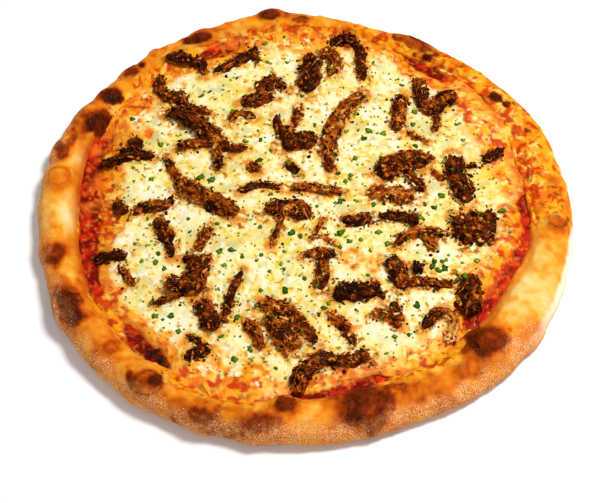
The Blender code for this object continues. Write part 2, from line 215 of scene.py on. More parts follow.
print("noise:", noise(np.array([[0.0, 0, 0], [5, 5, 5]]), 10, 1))

# %% [markdown]
# ## Colours
# A colour below is written as it looks on a screen, from 0 to 255, and turned to the linear numbers
# that light works with. Most of the food's colour changes from place to place, so it is painted on
# the points of the mesh in coats, with masks worked out from outlines, noise and lists of spots.


# %% Colour helpers
def hue(red, green, blue):
    """Screen numbers to linear ones: (v + 0.055) / 1.055 to the power 2.4, and v / 12.92 when dark."""
    level = np.array((red, green, blue)) / 255
    return np.where(level <= 0.04045, level / 12.92, ((level + 0.055) / 1.055) ** 2.4)


def coated(paint, *coats):
    """The paint with coats over it. A coat is a colour and an amount from 0 to 1 at each point, and
    the paint moves towards the colour by that amount."""
    for colour, amount in coats:
        paint = paint + (colour - paint) * np.clip(amount, 0, 1)[..., None]
    return paint


def ramp(value, stops):
    """The colour at each value, read between stops of (value, colour)."""
    places = [place for place, _ in stops]
    return np.stack([np.interp(value, places, [colour[k] for _, colour in stops]) for k in range(3)], axis=-1)


print("golden crust in linear light:", hue(249, 186, 60).round(3))

# %% [markdown]
# ## The camera comes first
# Spots on the food are listed as they were read on a level sheet 9 mm above the underside, seen
# from where the camera stands. To put a spot on the tall rim, a point of the rim is carried along
# the line of sight down to that sheet, and the list is read there. So the camera's place is needed
# before any painting.

# %% The camera
CAMERA_TARGET = np.array((-1.0, -30.0, 0.0))
CAMERA_AWAY = 900.0
CAMERA_HEIGHT_ANGLE = math.radians(56.08)
CAMERA_ROLL = math.radians(-2.80)
CAMERA_LENS = 79.56
SENSOR_WIDTH = 36.0
CLIP_START, CLIP_END = 0.05, 20.0
READING_LEVEL = 9.0

back = Vector((0.0, -math.cos(CAMERA_HEIGHT_ANGLE), math.sin(CAMERA_HEIGHT_ANGLE)))
right = Vector((1.0, 0.0, 0.0))
up = back.cross(right)
turned_right = right * math.cos(CAMERA_ROLL) + up * math.sin(CAMERA_ROLL)
turned_up = up * math.cos(CAMERA_ROLL) - right * math.sin(CAMERA_ROLL)
EYE = CAMERA_TARGET + CAMERA_AWAY * np.array(back)
camera = bpy.data.objects.new("camera", bpy.data.cameras.new("camera"))
camera.data.lens = CAMERA_LENS
camera.data.sensor_width = SENSOR_WIDTH
camera.data.clip_start, camera.data.clip_end = CLIP_START, CLIP_END
camera.matrix_world = Matrix.Translation(Vector((EYE - MIDDLE) * MM)) @ Matrix(
    (turned_right, turned_up, back)
).transposed().to_4x4()
bpy.context.scene.collection.objects.link(camera)
bpy.context.scene.camera = camera


def read_place(points):
    """Where each point is read on the level sheet: the point plus its line to the camera, as far as
    the height of the sheet."""
    to_eye = EYE - points
    return points[:, :2] + to_eye[:, :2] * ((READING_LEVEL - points[:, 2]) / to_eye[:, 2])[:, None]


print("camera at", tuple(round(v, 4) for v in camera.matrix_world.translation))

# %% [markdown]
# ## Soft round touches
# Blisters, browned spots and patches of oil are all soft round touches on a surface. One function
# reads a list of them and gives the share of each at every point. Others take the strongest touch,
# or move a value towards each in turn. The distance is made uneven with noise, so a touch has a
# ragged edge.

# %% Touches
RUN_SPACING = 3.0
FAR_SHARE = 4.0


def touch_shares(at, table, raggedness, steepness=3.0, widen=1.0):
    """For each (x, y, radius, ...) of the table, exp(-(d / r) ** steepness) at each point, where r is
    the widened radius and d is the distance made larger or smaller by noise."""
    uneven = 1 + raggedness * layered(laid_flat(at), 7.0, 31)
    for entry in table:
        near = np.hypot(at[:, 0] - entry[0], at[:, 1] - entry[1]) * uneven / (widen * entry[2])
        yield entry, np.exp(-np.minimum(near, FAR_SHARE) ** steepness)


def strongest(at, table, raggedness, steepness, widen=1.0):
    """The largest strength * share of all the touches (x, y, radius, strength) at each point."""
    best = np.zeros(len(at))
    for entry, share in touch_shares(at, table, raggedness, steepness, widen):
        best = np.maximum(best, entry[3] * share)
    return best


def washed(value, at, table, raggedness, steepness=3.0):
    """The value, moved in turn towards that of each touch (x, y, radius, value) by its share."""
    for entry, share in touch_shares(at, table, raggedness, steepness):
        value = value + (entry[3] - value) * share
    return value


def along_runs(runs):
    """Touches (x, y, radius, strength) set closely along each run, a smooth line through touches."""
    touches = []
    for run in runs:
        length = np.linalg.norm(np.diff(np.array(run)[:, :2], axis=0), axis=1).sum()
        touches += list(smooth_through(run, np.linspace(0, 1, max(2, round(length / RUN_SPACING)))))
    return touches


# %% [markdown]
# ## Making a mesh
# Most pieces are grids: rows and columns of points, closed round one way, with the ends drawn to a
# pole. Small loose things are one form repeated. All the points and faces of a piece are arrays, and
# they are handed over to its mesh as a whole.


# %% Faces
def grid_quads(rows, columns, start=0, wrap=True):
    """Faces of a grid of rows and columns of points. With wrap the last column meets the first."""
    row = columns * np.arange(rows - 1)[:, None]
    column = np.arange(columns if wrap else columns - 1)
    after = (column + 1) % columns
    corners = (row + column, row + after, row + columns + after, row + columns + column)
    return start + np.stack(corners, axis=-1).reshape(-1, 4)


def fan(pole, ring, flipped=False):
    """Triangles from a pole to a closed ring of points."""
    after = np.roll(ring, -1)
    pair = (after, ring) if flipped else (ring, after)
    return np.stack([*pair, np.full(len(ring), pole)], axis=-1)


def closed_grid(rows, columns, start=0, flipped=False):
    """The quads of a grid that closes round, and the triangles to the two poles that close its ends.
    The poles are the two points after the grid's own."""
    quads = grid_quads(rows, columns, start)
    ring, pole = start + np.arange(columns), start + rows * columns
    ends = [fan(pole, ring, not flipped), fan(pole + 1, ring + (rows - 1) * columns, flipped)]
    return quads[:, ::-1] if flipped else quads, np.concatenate(ends)


def repeated(faces, solids, points_each):
    """The faces of one small solid, again for each of many solids with so many points each."""
    return (np.arange(solids)[:, None, None] * points_each + faces).reshape(-1, faces.shape[-1])


# %% A piece
def piece(name, points, faces, paint, finish, slot, *stands_for, masks=None):
    """A finished piece in the frame, from points in millimetres, its quads and its triangles, and a
    painted colour for each point. It rides on the one body, and stands for the solids that are
    named. Up to three masks for the finish can go on the points too."""
    quads, triangles = (np.asarray(part, np.int32).reshape(-1, 4 - k) for k, part in enumerate(faces))
    mesh = bpy.data.meshes.new(name)
    mesh.vertices.add(len(points))
    mesh.vertices.foreach_set("co", ((points - MIDDLE) * MM).astype(np.float32).ravel())
    mesh.loops.add(quads.size + triangles.size)
    mesh.loops.foreach_set("vertex_index", np.concatenate([quads.ravel(), triangles.ravel()]))
    mesh.polygons.add(len(quads) + len(triangles))
    starts = np.concatenate([np.arange(len(quads)) * 4, quads.size + np.arange(len(triangles)) * 3])
    mesh.polygons.foreach_set("loop_start", starts.astype(np.int32))
    mesh.update(calc_edges=True)
    mesh.shade_smooth()
    for label, values in (("paint", paint), ("masks", masks)):
        if values is not None:
            layer = mesh.attributes.new(label, "FLOAT_COLOR", "POINT")
            values = np.column_stack([np.clip(values, 0, 1), np.ones(len(points))])
            layer.data.foreach_set("color", values.astype(np.float32).ravel())
    mesh.materials.append(finish.material)
    made = bpy.data.objects.new(name, mesh)
    bpy.context.scene.collection.objects.link(made)
    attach(made, "root")
    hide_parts(*stands_for)
    print(f"{name}: {len(points)} points, {2 * len(quads) + len(triangles)} triangles")


# %% [markdown]
# ## Writing finishes as sums
# A finish is a tree of shader nodes. Two small classes keep it readable. A Wire holds one output
# socket, and adding or multiplying it adds a Math node, so that a mask reads like a formula. A
# Finish makes any other node from its type, its settings and the values or wires of its sockets. It
# starts from the paint on the points, and stains go over that.


# %% Sockets as numbers
class Wire:
    """One output socket. Python's operators on it add Math nodes, in either order."""

    def __init__(self, finish, socket):
        self.finish, self.socket = finish, socket

    def math(self, operation, *values):
        return self.finish.node("ShaderNodeMath", {"operation": operation}, dict(enumerate(values)))

    def __add__(self, other):
        return self.math("ADD", self, other)

    def __mul__(self, other):
        return self.math("MULTIPLY", self, other)

    def __sub__(self, other):
        return self.math("SUBTRACT", self, other)

    def __rsub__(self, other):
        return self.math("SUBTRACT", other, self)

    __radd__ = __add__
    __rmul__ = __mul__

    def between(self, low, high):
        """0 below low, 1 above high, and evenly between."""
        return self.finish.node("ShaderNodeMapRange", {}, {0: self, 1: low, 2: high, 3: 0.0, 4: 1.0})


# %% The finish helper
class Finish:
    """A material in the making, with its Principled shader. The settings are values for the shader's
    sockets, with an underscore for each space in a socket's name."""

    def __init__(self, name, **settings):
        self.material = bpy.data.materials.new(name)
        self.material.use_nodes = True
        self.tree = self.material.node_tree
        self.shader = self.tree.nodes["Principled BSDF"]
        for socket, value in settings.items():
            self.feed(self.shader.inputs[socket.replace("_", " ")], value)
        self.place = self.node("ShaderNodeTexCoord", output="Object")
        self.colour = self.painted("paint")

    def node(self, kind, settings=(), sockets=(), output=0):
        """A node of that type: first its settings, then a value or a wire for each socket."""
        made = self.tree.nodes.new(kind)
        for name, value in dict(settings).items():
            setattr(made, name, value)
        for name, value in dict(sockets).items():
            self.feed(made.inputs[name], value)
        return Wire(self, made.outputs[output])

    def feed(self, socket, value):
        """Links a wire to the socket, or sets the socket to a value."""
        if isinstance(value, Wire):
            self.tree.links.new(value.socket, socket)
        else:
            socket.default_value = value

    def painted(self, label):
        """The colour that the points carry under that label."""
        return self.node("ShaderNodeAttribute", {"attribute_name": label}, output="Color")

    def mask(self, part):
        """One of the three masks on the points."""
        return self.node("ShaderNodeSeparateColor", {}, {0: self.painted("masks")}, output=part)

    def grain(self, size, detail=3.0):
        """Noise from 0 to 1 whose features are about that many millimetres wide."""
        sockets = {"Vector": self.place, "Scale": 1000 / size, "Detail": detail, "Roughness": 0.6}
        return self.node("ShaderNodeTexNoise", {}, sockets)

    def stain(self, screen, factor, blend="MIX"):
        """Mixes a screen colour into the base colour by a factor."""
        settings = {"data_type": "RGBA", "blend_type": blend}
        sockets = {0: factor, 6: self.colour, 7: (*hue(*screen), 1.0)}
        self.colour = self.node("ShaderNodeMix", settings, sockets, output=2)
        self.feed(self.shader.inputs["Base Color"], self.colour)

    def surface(self, roughness, height, distance, strength=1.0, coat=0.0):
        """Feeds the roughness, the coat, and the Normal from a height, which at 1 stands that many
        millimetres proud."""
        sockets = {"Height": height, "Distance": distance * MM, "Strength": strength}
        bump = self.node("ShaderNodeBump", {}, sockets)
        for socket, value in (("Roughness", roughness), ("Coat Weight", coat), ("Normal", bump)):
            self.feed(self.shader.inputs[socket], value)


# %% [markdown]
# ## Marbling
# In places the cheese ran out over the rim, and its oil carried sauce with it. There gold, orange,
# red and thin cheese are marbled together across three pieces. The pattern depends only on the
# place in plan, so it runs on from the cheese over the sauce to the crust, and hides their joins.

# %% The marbled places
FADING = along_runs((
    ((-84, -126, 9, 1), (-66, -130, 11, 1), (-48, -134, 12, 1), (-30, -139, 10, 1), (-16, -142, 7, 1)),
    ((50, -130, 6, .9), (70, -124, 9, 1), (88, -114, 9, 1), (100, -106, 6, .9)),
    ((149, 6, 8, 1), (146, 24, 11, 1), (142, 44, 12, 1), (136, 62, 12, 1), (126, 82, 12, 1),
     (114, 100, 9, 1)),
    ((-28, 154, 9, .9), (-6, 156, 10, .9), (16, 155, 10, 1), (38, 152, 9, 1), (62, 146, 9, 1),
     (78, 138, 8, 1)),
    ((-108, 104, 10, .8), (-116, 92, 10, .8), (-122, 82, 8, .9)),
))
RUN_GOLD, THIN_CHEESE, RUN_ORANGE = hue(238, 160, 24), hue(242, 210, 104), hue(222, 104, 8)
FINE_GOLD, RUN_RED, RUN_BROWN = hue(244, 160, 22), hue(194, 44, 4), hue(120, 50, 8)


def marbled(paint, at, amount, redder=0.0):
    """The paint with gold over it, then thin cheese, orange, fine gold, red and brown, each where its
    own noise is high. Amount and redder are shares for each point."""
    swirl = warped(laid_flat(at), 3.0, 8.0, 45)
    strong = rising(0.12, 0.55, amount)
    return coated(
        paint,
        (RUN_GOLD, 0.95 * np.minimum(2.2 * amount, 1)),
        (THIN_CHEESE, 0.8 * amount * rising(0.05, 0.45, layered(swirl, 6.0, 48))),
        (RUN_ORANGE, 0.90 * strong * rising(-0.14, 0.40, layered(swirl, 5.0, 49))),
        (FINE_GOLD, 0.50 * strong * rising(0.20, 0.60, noise(swirl, 1.9, 52))),
        (RUN_RED, 0.90 * strong * rising(0.20, 0.50, layered(swirl, 4.2, 50) + redder)),
        (RUN_BROWN, 0.60 * strong * rising(0.40, 0.66, layered(swirl, 2.6, 51, 2))),
    )


# %% [markdown]
# ## The crust
# The rim is dough that rose past the toppings: an uneven tube with a flat underside, browned on top
# and dusted with flour low on its outside. Its section runs from the flat underside round the
# outside, over the crest and down to the foot inside, and it is carried round the outline. So the
# rim is one surface of two parameters, the angle and the share of the section.

# %% The rim's section
RIM_HEIGHT = 16.5
RIM_HEIGHT_SWING = 4.5
RIM_HIGH_ANGLE = 225.0
UNDERSIDE_INSET = 13.0
RIM_WAVES = ((7, 0.7, 1.1), (13, 0.5, 4.0), (23, 0.35, 2.2))


def rim_height(angle):
    """The crest's height: a mean, a slow swing towards the front left, and three sine waves."""
    swing = RIM_HEIGHT_SWING * np.cos(angle - math.radians(RIM_HIGH_ANGLE))
    return RIM_HEIGHT + swing + sum(size * np.sin(turns * angle + phase) for turns, size, phase in RIM_WAVES)


def rim_section(angle, share):
    """Radius and height of the rim's skin: a smooth curve through eleven knots, set by the outer
    radius, the foot's radius and the crest's height at that angle."""
    outer, foot, height = outline(CRUST_RADII, angle), outline(RIM_FOOT_RADII, angle), rim_height(angle)
    width = outer - foot
    flat = np.zeros_like(angle)
    radius = (
        outer - UNDERSIDE_INSET, outer - 4.5, outer - 0.8, outer, outer - 0.10 * width, outer - 0.30 * width,
        outer - 0.52 * width, outer - 0.75 * width, outer - 0.91 * width, foot, foot - 3.0,
    )
    level = (
        flat, flat + 0.7, 0.24 * height, 0.50 * height, 0.78 * height, 0.96 * height, height,
        0.88 * height, 0.64 * height, flat + BASE_TOP + 2.4, flat + BASE_TOP,
    )
    return smooth_through(np.array(radius), share), smooth_through(np.array(level), share)


# %% [markdown]
# Where gas gathered under the skin, the oven raised blisters and scorched them. Each is a flat-topped
# swelling along the skin's own outward direction. Two of them have a crease round their top.

# %% Blisters
BLISTERS = (
    (-15, 180, 10, 3.5), (9, 171, 7, 2.5), (22, 170, 6, 2.0), (-66, 159, 9, 2.5),
    (-102, 143, 5, 1.5), (-121, 127, 8, 2.5), (-134, 104, 9, 3.0), (-144, 82, 14, 3.5),
    (-168, 56, 9, 2.5), (-166, 32, 11, 2.5), (-170, -29, 10, 2.0), (-155, -76, 12, 2.5),
    (-100, -131, 14, 4.0), (-66, -159, 9, 2.0), (-34, -164, 12, 2.5), (-16, -152, 8, 2.5),
    (34, -157, 16, 4.0), (115, -117, 15, 3.5), (147, -113, 9, 1.5), (174, -25, 10, 2.5),
    (177, 8, 9, 2.0), (152, 77, 7, 1.5), (145, 88, 7, 2.0), (92, 145, 17, 2.5),
)
CREASED = ((-100, -131), (115, -117))


def blister_lift(points):
    """Sum of rise * exp(-1.2 (d / size)^4), less a crease round the top of the creased ones."""
    lift = np.zeros(len(points))
    uneven = 1 + 0.10 * noise(points, 9.0, 3)
    for across, away, size, rise in BLISTERS:
        near = np.hypot(points[:, 0] - across, points[:, 1] - away) / size * uneven
        lift += rise * np.exp(-1.2 * np.minimum(near, 3) ** 4)
        if (across, away) in CREASED:
            lift -= 0.30 * rise * bell(near, 0.62, 0.17)
    return lift


# %% The way out of the skin
SHORT_WAY = 0.01


def outward(angle, share):
    """The skin's outward direction in its section, as (outwards, upwards): its course turned by a
    quarter of a turn."""
    ahead, rise = rim_section(angle, np.minimum(share + SHORT_WAY, 1.0))
    behind, drop = rim_section(angle, np.maximum(share - SHORT_WAY, 0.0))
    along = np.stack([ahead - behind, rise - drop])
    along /= np.linalg.norm(along, axis=0)
    return along[1], -along[0]


# %% The crust's points
RIM_COLUMNS, RIM_ROWS = 900, 88
angle = round_angles(RIM_COLUMNS)
share = np.linspace(0, 1, RIM_ROWS)
radius, level = rim_section(angle, share)
out, rise = outward(angle, share)
rim_share = np.repeat(share, RIM_COLUMNS)
rim_angle = np.tile(angle, RIM_ROWS)
degrees = np.degrees(rim_angle)
skin = around(radius, angle, level)
open_skin = rising(0.06, 0.22, rim_share) * (1 - rising(0.90, 0.99, rim_share))
dough = 0.75 * layered(skin, 19.0, 11) + 0.50 * noise(skin, 6.5, 12) + 0.22 * noise(skin, 2.8, 13)
blisters = blister_lift(skin)
wrinkles = -0.35 * rising(0.6, 2.0, blisters) * (1 - np.abs(noise(skin, 3.2, 14))) ** 3

# Where the cheese ran over: the whole right side, and the marbled places.
right_side = rising(347, 356, degrees) + 1 - rising(46, 56, degrees)
run_over = np.maximum(right_side, strongest(skin[:, :2], FADING, 0.3, 3.0, widen=1.5))
lumpy = 0.3 + 1.7 * rising(0.60, 0.78, rim_share) + 1.2 * rising(0.80, 0.88, rim_share)
lumpy += 0.9 * layered(skin, 5.0, 15) + 0.5 * noise(skin, 2.6, 16)
melted = rising(0.34, 0.48, rim_share) * run_over * lumpy
lift = (open_skin * (blisters + dough + wrinkles + melted)).reshape(radius.shape)
skin = around(radius + lift * out, angle, np.maximum(level + lift * rise, 0))
print("crust: crest", skin[:, 2].max().round(1), "mm high")

# %% [markdown]
# How brown each point is comes from one number, from 0, raw dough, to 1, char. It has a mean, broad
# washes, noise, and the scorched spots. Each spot is listed with its place, radius and how dark it
# is, and a wider and weaker halo goes round it, because heat browns the skin round a blister too.
# Smooth pale stretches are taken off. The burnt patches with a clear outline were read straight off
# the picture, so their places are pixels of its frame, 600 wide and 503 high. The line of sight
# through a pixel, carried down to the level sheet, turns each into millimetres.

# %% From a pixel to a place
PICTURE_WIDTH, PICTURE_HEIGHT = 600, 503


def seen_at(pixel_across, pixel_down):
    """The place on the level sheet that is seen at a pixel: where the line from the camera through
    the pixel meets the sheet."""
    aside = (pixel_across - PICTURE_WIDTH / 2) / PICTURE_WIDTH * SENSOR_WIDTH
    above = (PICTURE_HEIGHT / 2 - pixel_down) / PICTURE_WIDTH * SENSOR_WIDTH
    sight = np.array(aside * turned_right + above * turned_up - CAMERA_LENS * back)
    return (EYE + sight * (READING_LEVEL - EYE[2]) / sight[2])[:2]


print("the picture's middle shows the place", seen_at(PICTURE_WIDTH / 2, PICTURE_HEIGHT / 2).round(1))

# %% Scorches, pale places and washes
# Scorches: x, y, radius, brownness.
SCORCHES = (
    (-15, 183, 9, .85), (-14, 181, 4, 1), (-30, 178, 5, .5), (-20, 186, 5, .6), (9, 177, 6, .75),
    (5, 185, 5, .5), (22, 174, 6, .45), (14, 172, 5, .5), (36, 174, 5, .35), (42, 170, 5, .3),
    (-78, 159, 4, .8), (-70, 163, 7, .75), (-62, 163, 6, .75), (-57, 160, 5, .6), (-50, 172, 8, .25),
    (-103, 147, 4, .6), (-112, 138, 3, .95), (-120, 131, 7, .75), (-125, 128, 6, .6), (-128, 125, 4, .5),
    (-133, 108, 8, .95), (-127, 104, 6, .75), (-143, 86, 11, .98), (-135, 84, 8, .95), (-147, 90, 8, .85),
    (-130, 86, 6, .7), (-125, 84, 5, .6), (-150, 80, 6, .7), (-152, 72, 6, .6), (-140, 76, 8, .85),
    (-168, 64, 7, .8), (-167, 58, 6, .75), (-172, 52, 5, .6), (-158, 86, 6, .6), (-172, 32, 7, .55),
    (-168, 28, 8, .5), (-165, 45, 4, .45), (-170, -25, 8, .7), (-165, -22, 5, .75), (-169, -32, 6, .75),
    (-172, -38, 5, .5), (-157, -21, 7, .5), (-150, -24, 5, .55), (-155, -72, 9, .85), (-150, -78, 6, .95),
    (-158, -63, 7, .6), (-162, -55, 5, .5), (-152, -66, 6, .7), (-125, -103, 9, .45), (-128, -112, 7, .45),
    (-130, -97, 5, .4), (-97, -131, 5, .9), (-93, -139, 8, .5), (-88, -145, 9, .5), (-66, -157, 9, .75),
    (-63, -141, 5, .55), (-33, -161, 12, .7), (-28, -165, 8, .65), (-38, -156, 6, .55), (-20, -158, 7, .6),
    (-16, -150, 6, .85), (-17, -145, 6, .7), (-13, -155, 6, .6), (33, -152, 13, .88), (26, -150, 7, .85),
    (28, -162, 8, .85), (42, -150, 9, .75), (38, -160, 8, .8), (50, -155, 6, .6), (8, -170, 8, .5),
    (-25, -173, 10, .6), (60, -148, 10, .4), (60, -162, 6, .5), (112, -112, 12, .85), (105, -105, 8, .75),
    (120, -108, 8, .75), (113, -118, 8, .85), (125, -112, 6, .7), (147, -108, 6, .5), (150, -103, 4, .5),
    (143, -117, 4, .5), (128, -127, 6, .5), (126, -122, 4, .5), (178, 15, 8, .5), (172, 10, 6, .4),
    (152, 82, 5, .65), (145, 92, 6, .75), (148, 93, 4, .7), (155, 84, 4, .7), (135, 88, 4, .6),
    (125, 106, 4, .6), (133, 104, 3, .5), (146, 80, 6, .6), (90, 148, 12, .6), (80, 153, 8, .65),
    (95, 143, 10, .62), (104, 140, 7, .55), (85, 156, 7, .6), (100, 132, 4, .95), (110, 128, 3, .7),
    (112, 118, 6, .4), (128, 118, 6, .45), (135, 115, 5, .35), (180, -8, 4, .6), (165, 8, 5, .4),
    (162, 28, 5, .45),
)
# Dark rings round a blister's top, and touches that are paler: x, y, radius, strength.
SCORCH_RINGS = ((-167, 38, 10, .52), (-101, -130, 12, .68), (175, -20, 8, .66))
PALE = (
    (-158, 50, 8, .2), (-160, 5, 10, .25), (-158, -10, 8, .25), (-157, -38, 8, .2), (10, -155, 12, .15),
    (150, -70, 14, .25), (152, -90, 8, .25), (140, -90, 10, .2), (148, -62, 10, .2), (-130, 98, 8, .1),
    (-5, 170, 8, .15),
)
CRUST_RAMP = (
    (0.00, hue(246, 224, 170)), (0.14, hue(238, 206, 134)), (0.28, hue(238, 184, 86)),
    (0.40, hue(232, 150, 38)), (0.52, hue(214, 110, 16)), (0.64, hue(178, 72, 6)),
    (0.76, hue(126, 40, 3)), (0.88, hue(76, 20, 2)), (1.00, hue(36, 10, 2)),
)
# Burnt patches with a clear outline: the pixel of the middle, half the width and half the depth in
# millimetres, turn in degrees, brownness.
PATCHES = (
    (147.5, 382.5, 13, 11, 0, .65), (112.5, 96, 9, 7, 0, .92), (96, 121.5, 15, 10, 20, .68),
    (98.5, 122, 11, 9, 30, .90), (72, 140, 4, 8, -20, .70), (130, 71, 7, 4, 35, .76),
    (198.5, 38, 11, 5, 18, .84), (64, 151, 4, 9, -10, .76), (61, 181, 9, 10, 0, .50), (57, 255, 5, 8, 0, .82),
    (68, 304, 7, 15, 25, .88), (110, 347, 7, 6, 0, .62), (155, 380, 7, 5, 0, .88),
    (130, 380, 2.5, 8, 10, .84), (202, 415, 10, 6, -15, .78), (265, 425, 15, 7, 0, .74),
    (287, 405, 7, 6, 0, .84), (365, 405, 17, 13, 10, .80), (487, 340, 13, 10, 10, .78),
    (474, 345, 3, 8, 30, .90), (558, 223.5, 8, 10, 0, .60), (535, 328, 8, 5, 40, .52),
    (414, 44, 19, 7, -33, .70), (422, 39, 14, 3, -33, .82), (427, 57, 3, 3, 0, .95),
    (496, 98, 6, 4, -40, .86), (507, 105, 4, 3, -40, .84), (555, 180, 7, 6, 0, .58), (269, 15, 9, 5, 0, .82),
    (302, 20, 7, 4, 0, .72),
)
# Broad washes: x, y, radius, brownness in the middle of it.
WASHES = (
    (92, 145, 28, .74), (60, 155, 20, .52), (20, 172, 28, .49), (-30, 175, 22, .46), (-66, 160, 22, .52),
    (-100, 140, 22, .40), (-120, 120, 22, .44), (-145, 85, 24, .58), (-158, 52, 16, .29), (-166, 36, 15, .54),
    (-160, 5, 20, .29), (-166, -28, 18, .62), (-156, -45, 13, .33), (-156, -72, 25, .72),
    (-135, -92, 18, .40), (-128, -108, 18, .53), (-108, -128, 18, .40), (-85, -145, 20, .47),
    (-66, -155, 20, .62), (-35, -162, 28, .67), (0, -160, 20, .39), (38, -156, 36, .74), (75, -145, 24, .50),
    (112, -112, 32, .70), (140, -110, 20, .57), (152, -76, 30, .33), (165, -40, 24, .38), (174, -20, 16, .54),
    (170, 15, 22, .56), (160, 50, 24, .52), (148, 85, 26, .56), (125, 112, 24, .53), (105, 130, 20, .60),
)

# %% How brown the crust is
MEAN_BROWN = 0.43
read_at = read_place(skin)
brown = washed(MEAN_BROWN, read_at, WASHES, 0.3, 2.0)
brown += 0.12 * layered(skin, 15.0, 21) + 0.12 * noise(skin, 5.5, 22) + 0.05 * noise(skin, 2.1, 23)
brown -= 0.5 * strongest(read_at, PALE, 0.15, 2.0)
halo = strongest(read_at, SCORCHES, 0.35, 2.0, widen=1.9)
dark = strongest(read_at, SCORCHES, 0.30, 3.2, widen=1.2)
brown = np.maximum.reduce([brown, 0.35 * brown + 0.62 * halo, dark])

# %% The burnt patches
uneven = 1 + 0.30 * layered(skin, 6.0, 27) + 0.12 * noise(skin, 2.2, 28)
mottled = 0.06 * layered(skin, 4.5, 29)
in_patch = np.zeros(len(skin))
for pixel_across, pixel_down, half_width, half_depth, turn, much in PATCHES:
    x, y = turned(*(read_at - seen_at(pixel_across, pixel_down)).T, -math.radians(turn))
    near = np.hypot(x / half_width, y / half_depth) * uneven
    reached = np.exp(-np.minimum(near, 3.0) ** 3.6)
    brown += (much + 0.06 * bell(near, 0.75, 0.22) + mottled - brown) * reached
    in_patch = np.maximum(in_patch, reached)
for across, away, size, much in SCORCH_RINGS:
    near = np.hypot(read_at[:, 0] - across, read_at[:, 1] - away) / size
    near *= 1 + 0.2 * noise(skin, 6.0, 26)
    brown = np.maximum(brown, (much + 0.06) * bell(near, 0.75, 0.34))
brown += 0.05 * (noise(skin, 1.7, 24) + noise(skin, 3.8, 25)) * rising(0.45, 0.75, brown)
paint = ramp(brown, CRUST_RAMP)
print("crust: mean brownness", brown.mean().round(3))

# %% [markdown]
# Low on the outside, flour and semolina from the peel stick to the dough, so it looks sandy and
# grey-white. Inside, the sauce and the cheese's oil climb a few millimetres up from the foot and
# stain the dough red and orange, most where the sauce shows.

# %% Flour, and a far edge that is partly painted highlight
FLOUR, SAND = hue(246, 208, 156), hue(222, 136, 58)
BUFF, FLOUR_AND_HIGHLIGHT_EDGE = hue(244, 212, 150), hue(255, 240, 214)

front_left = rising(120, 150, degrees) * (1 - rising(318, 345, degrees))
far_edge = (1 - rising(75, 100, degrees)) + rising(318, 335, degrees)
low_outside = 1 - rising(0.38, 0.55, rim_share + 0.07 * layered(skin, 9.0, 41))
below_crest = 1 - rising(0.37, 0.43, rim_share + 0.02 * noise(skin, 4.0, 40))
dusting = np.clip(0.75 + 0.4 * layered(skin, 5.0, 42), 0, 1)
floury = low_outside * front_left * dusting * (1 - 0.7 * rising(0.62, 0.78, brown))
buff_amount = rising(0.12, 0.24, rim_share) * (0.62 + 0.30 * layered(skin, 7.0, 39))
paint = coated(
    paint,
    (SAND, 0.75 * floury),
    (FLOUR, 0.7 * (1 - rising(0.08, 0.16, rim_share))),
    (BUFF, far_edge * below_crest * buff_amount),
    # On the far edge just under the crest: partly flour, and partly a painted highlight where that edge meets
    # the light.
    (FLOUR_AND_HIGHLIGHT_EDGE, 0.85 * far_edge * below_crest * rising(0.27, 0.34, rim_share)),
)

# %% Stains of sauce and oil
BARE_SAUCE = along_runs((
    ((-124, 78, 5, .7), (-134, 70, 8, .9), (-142, 60, 10, 1), (-146, 42, 11, 1), (-146, 20, 10, 1),
     (-145, 0, 9, 1), (-144, -20, 9, 1), (-144, -38, 9, 1), (-140, -50, 8, 1), (-136, -60, 5, 1)),
    ((-113, -90, 6, 1), (-108, -98, 7, 1), (-99, -110, 6, 1), (-90, -117, 4, 1)),
    ((-16, -139, 3, 1), (-4, -147, 5, 1), (10, -144, 5, 1), (24, -142, 5, 1), (36, -137, 5, 1),
     (47, -134, 4, 1)),
    ((104, -99, 4, 1), (113, -93, 6, 1), (121, -84, 7, 1), (128, -72, 8, 1), (134, -61, 7, 1),
     (143, -52, 5, 1)),
    ((153, 6, 4, 1), (155, -3, 7, 1), (156, -15, 7, 1), (155, -28, 7, 1), (151, -40, 6, 1),
     (145, -49, 5, 1)),
    ((86, 132, 4, .9), (95, 124, 6, 1), (103, 117, 6, 1), (111, 111, 4, 1)),
    ((-64, 146, 6, .9), (-54, 150, 9, 1), (-44, 155, 7, .9)),
    ((128, 98, 3, .6), (136, 90, 4, .8), (143, 78, 5, .9), (147, 64, 4, .8)),
    ((150, 38, 4, .8), (153, 26, 5, .9), (154, 14, 4, .8)),
    ((53, 148, 4, .8), (68, 147, 4, .8)),
))
RED_STAIN, ORANGE_STAIN = hue(178, 44, 12), hue(214, 112, 26)

past_foot = np.hypot(skin[:, 0], skin[:, 1]) - outline(RIM_FOOT_RADII, rim_angle)
bare = strongest(read_at, BARE_SAUCE, 0.3, 3.0, widen=1.5)
inside = rising(0.6, 0.7, rim_share)
ragged = 1.6 * noise(skin, 5.0, 44)
unburnt = 1 - np.maximum(rising(0.62, 0.74, brown), in_patch)
orange_foot = 0.7 * (1 - rising(1.5, 7.5, past_foot + ragged))
red_foot = (0.15 + 0.8 * bare) * (1 - rising(-1.0, 3.5, past_foot + 0.8 * ragged))
greasy = rising(0.30, 0.42, rim_share) * run_over
near_foot = inside * run_over * (1 - rising(4, 14, past_foot + 2.5 * ragged))
oily_foot = inside * 0.7 * (1 - rising(0.5, 5.0, past_foot + ragged)) * (1 - bare)
clean_foot = inside * unburnt
paint = coated(paint, (ORANGE_STAIN, clean_foot * orange_foot), (RED_STAIN, clean_foot * red_foot))
paint = marbled(paint, skin, unburnt * np.maximum(greasy, oily_foot), 0.32 * near_foot - 0.13)
print("crust: mean colour", paint.mean(axis=0).round(3))

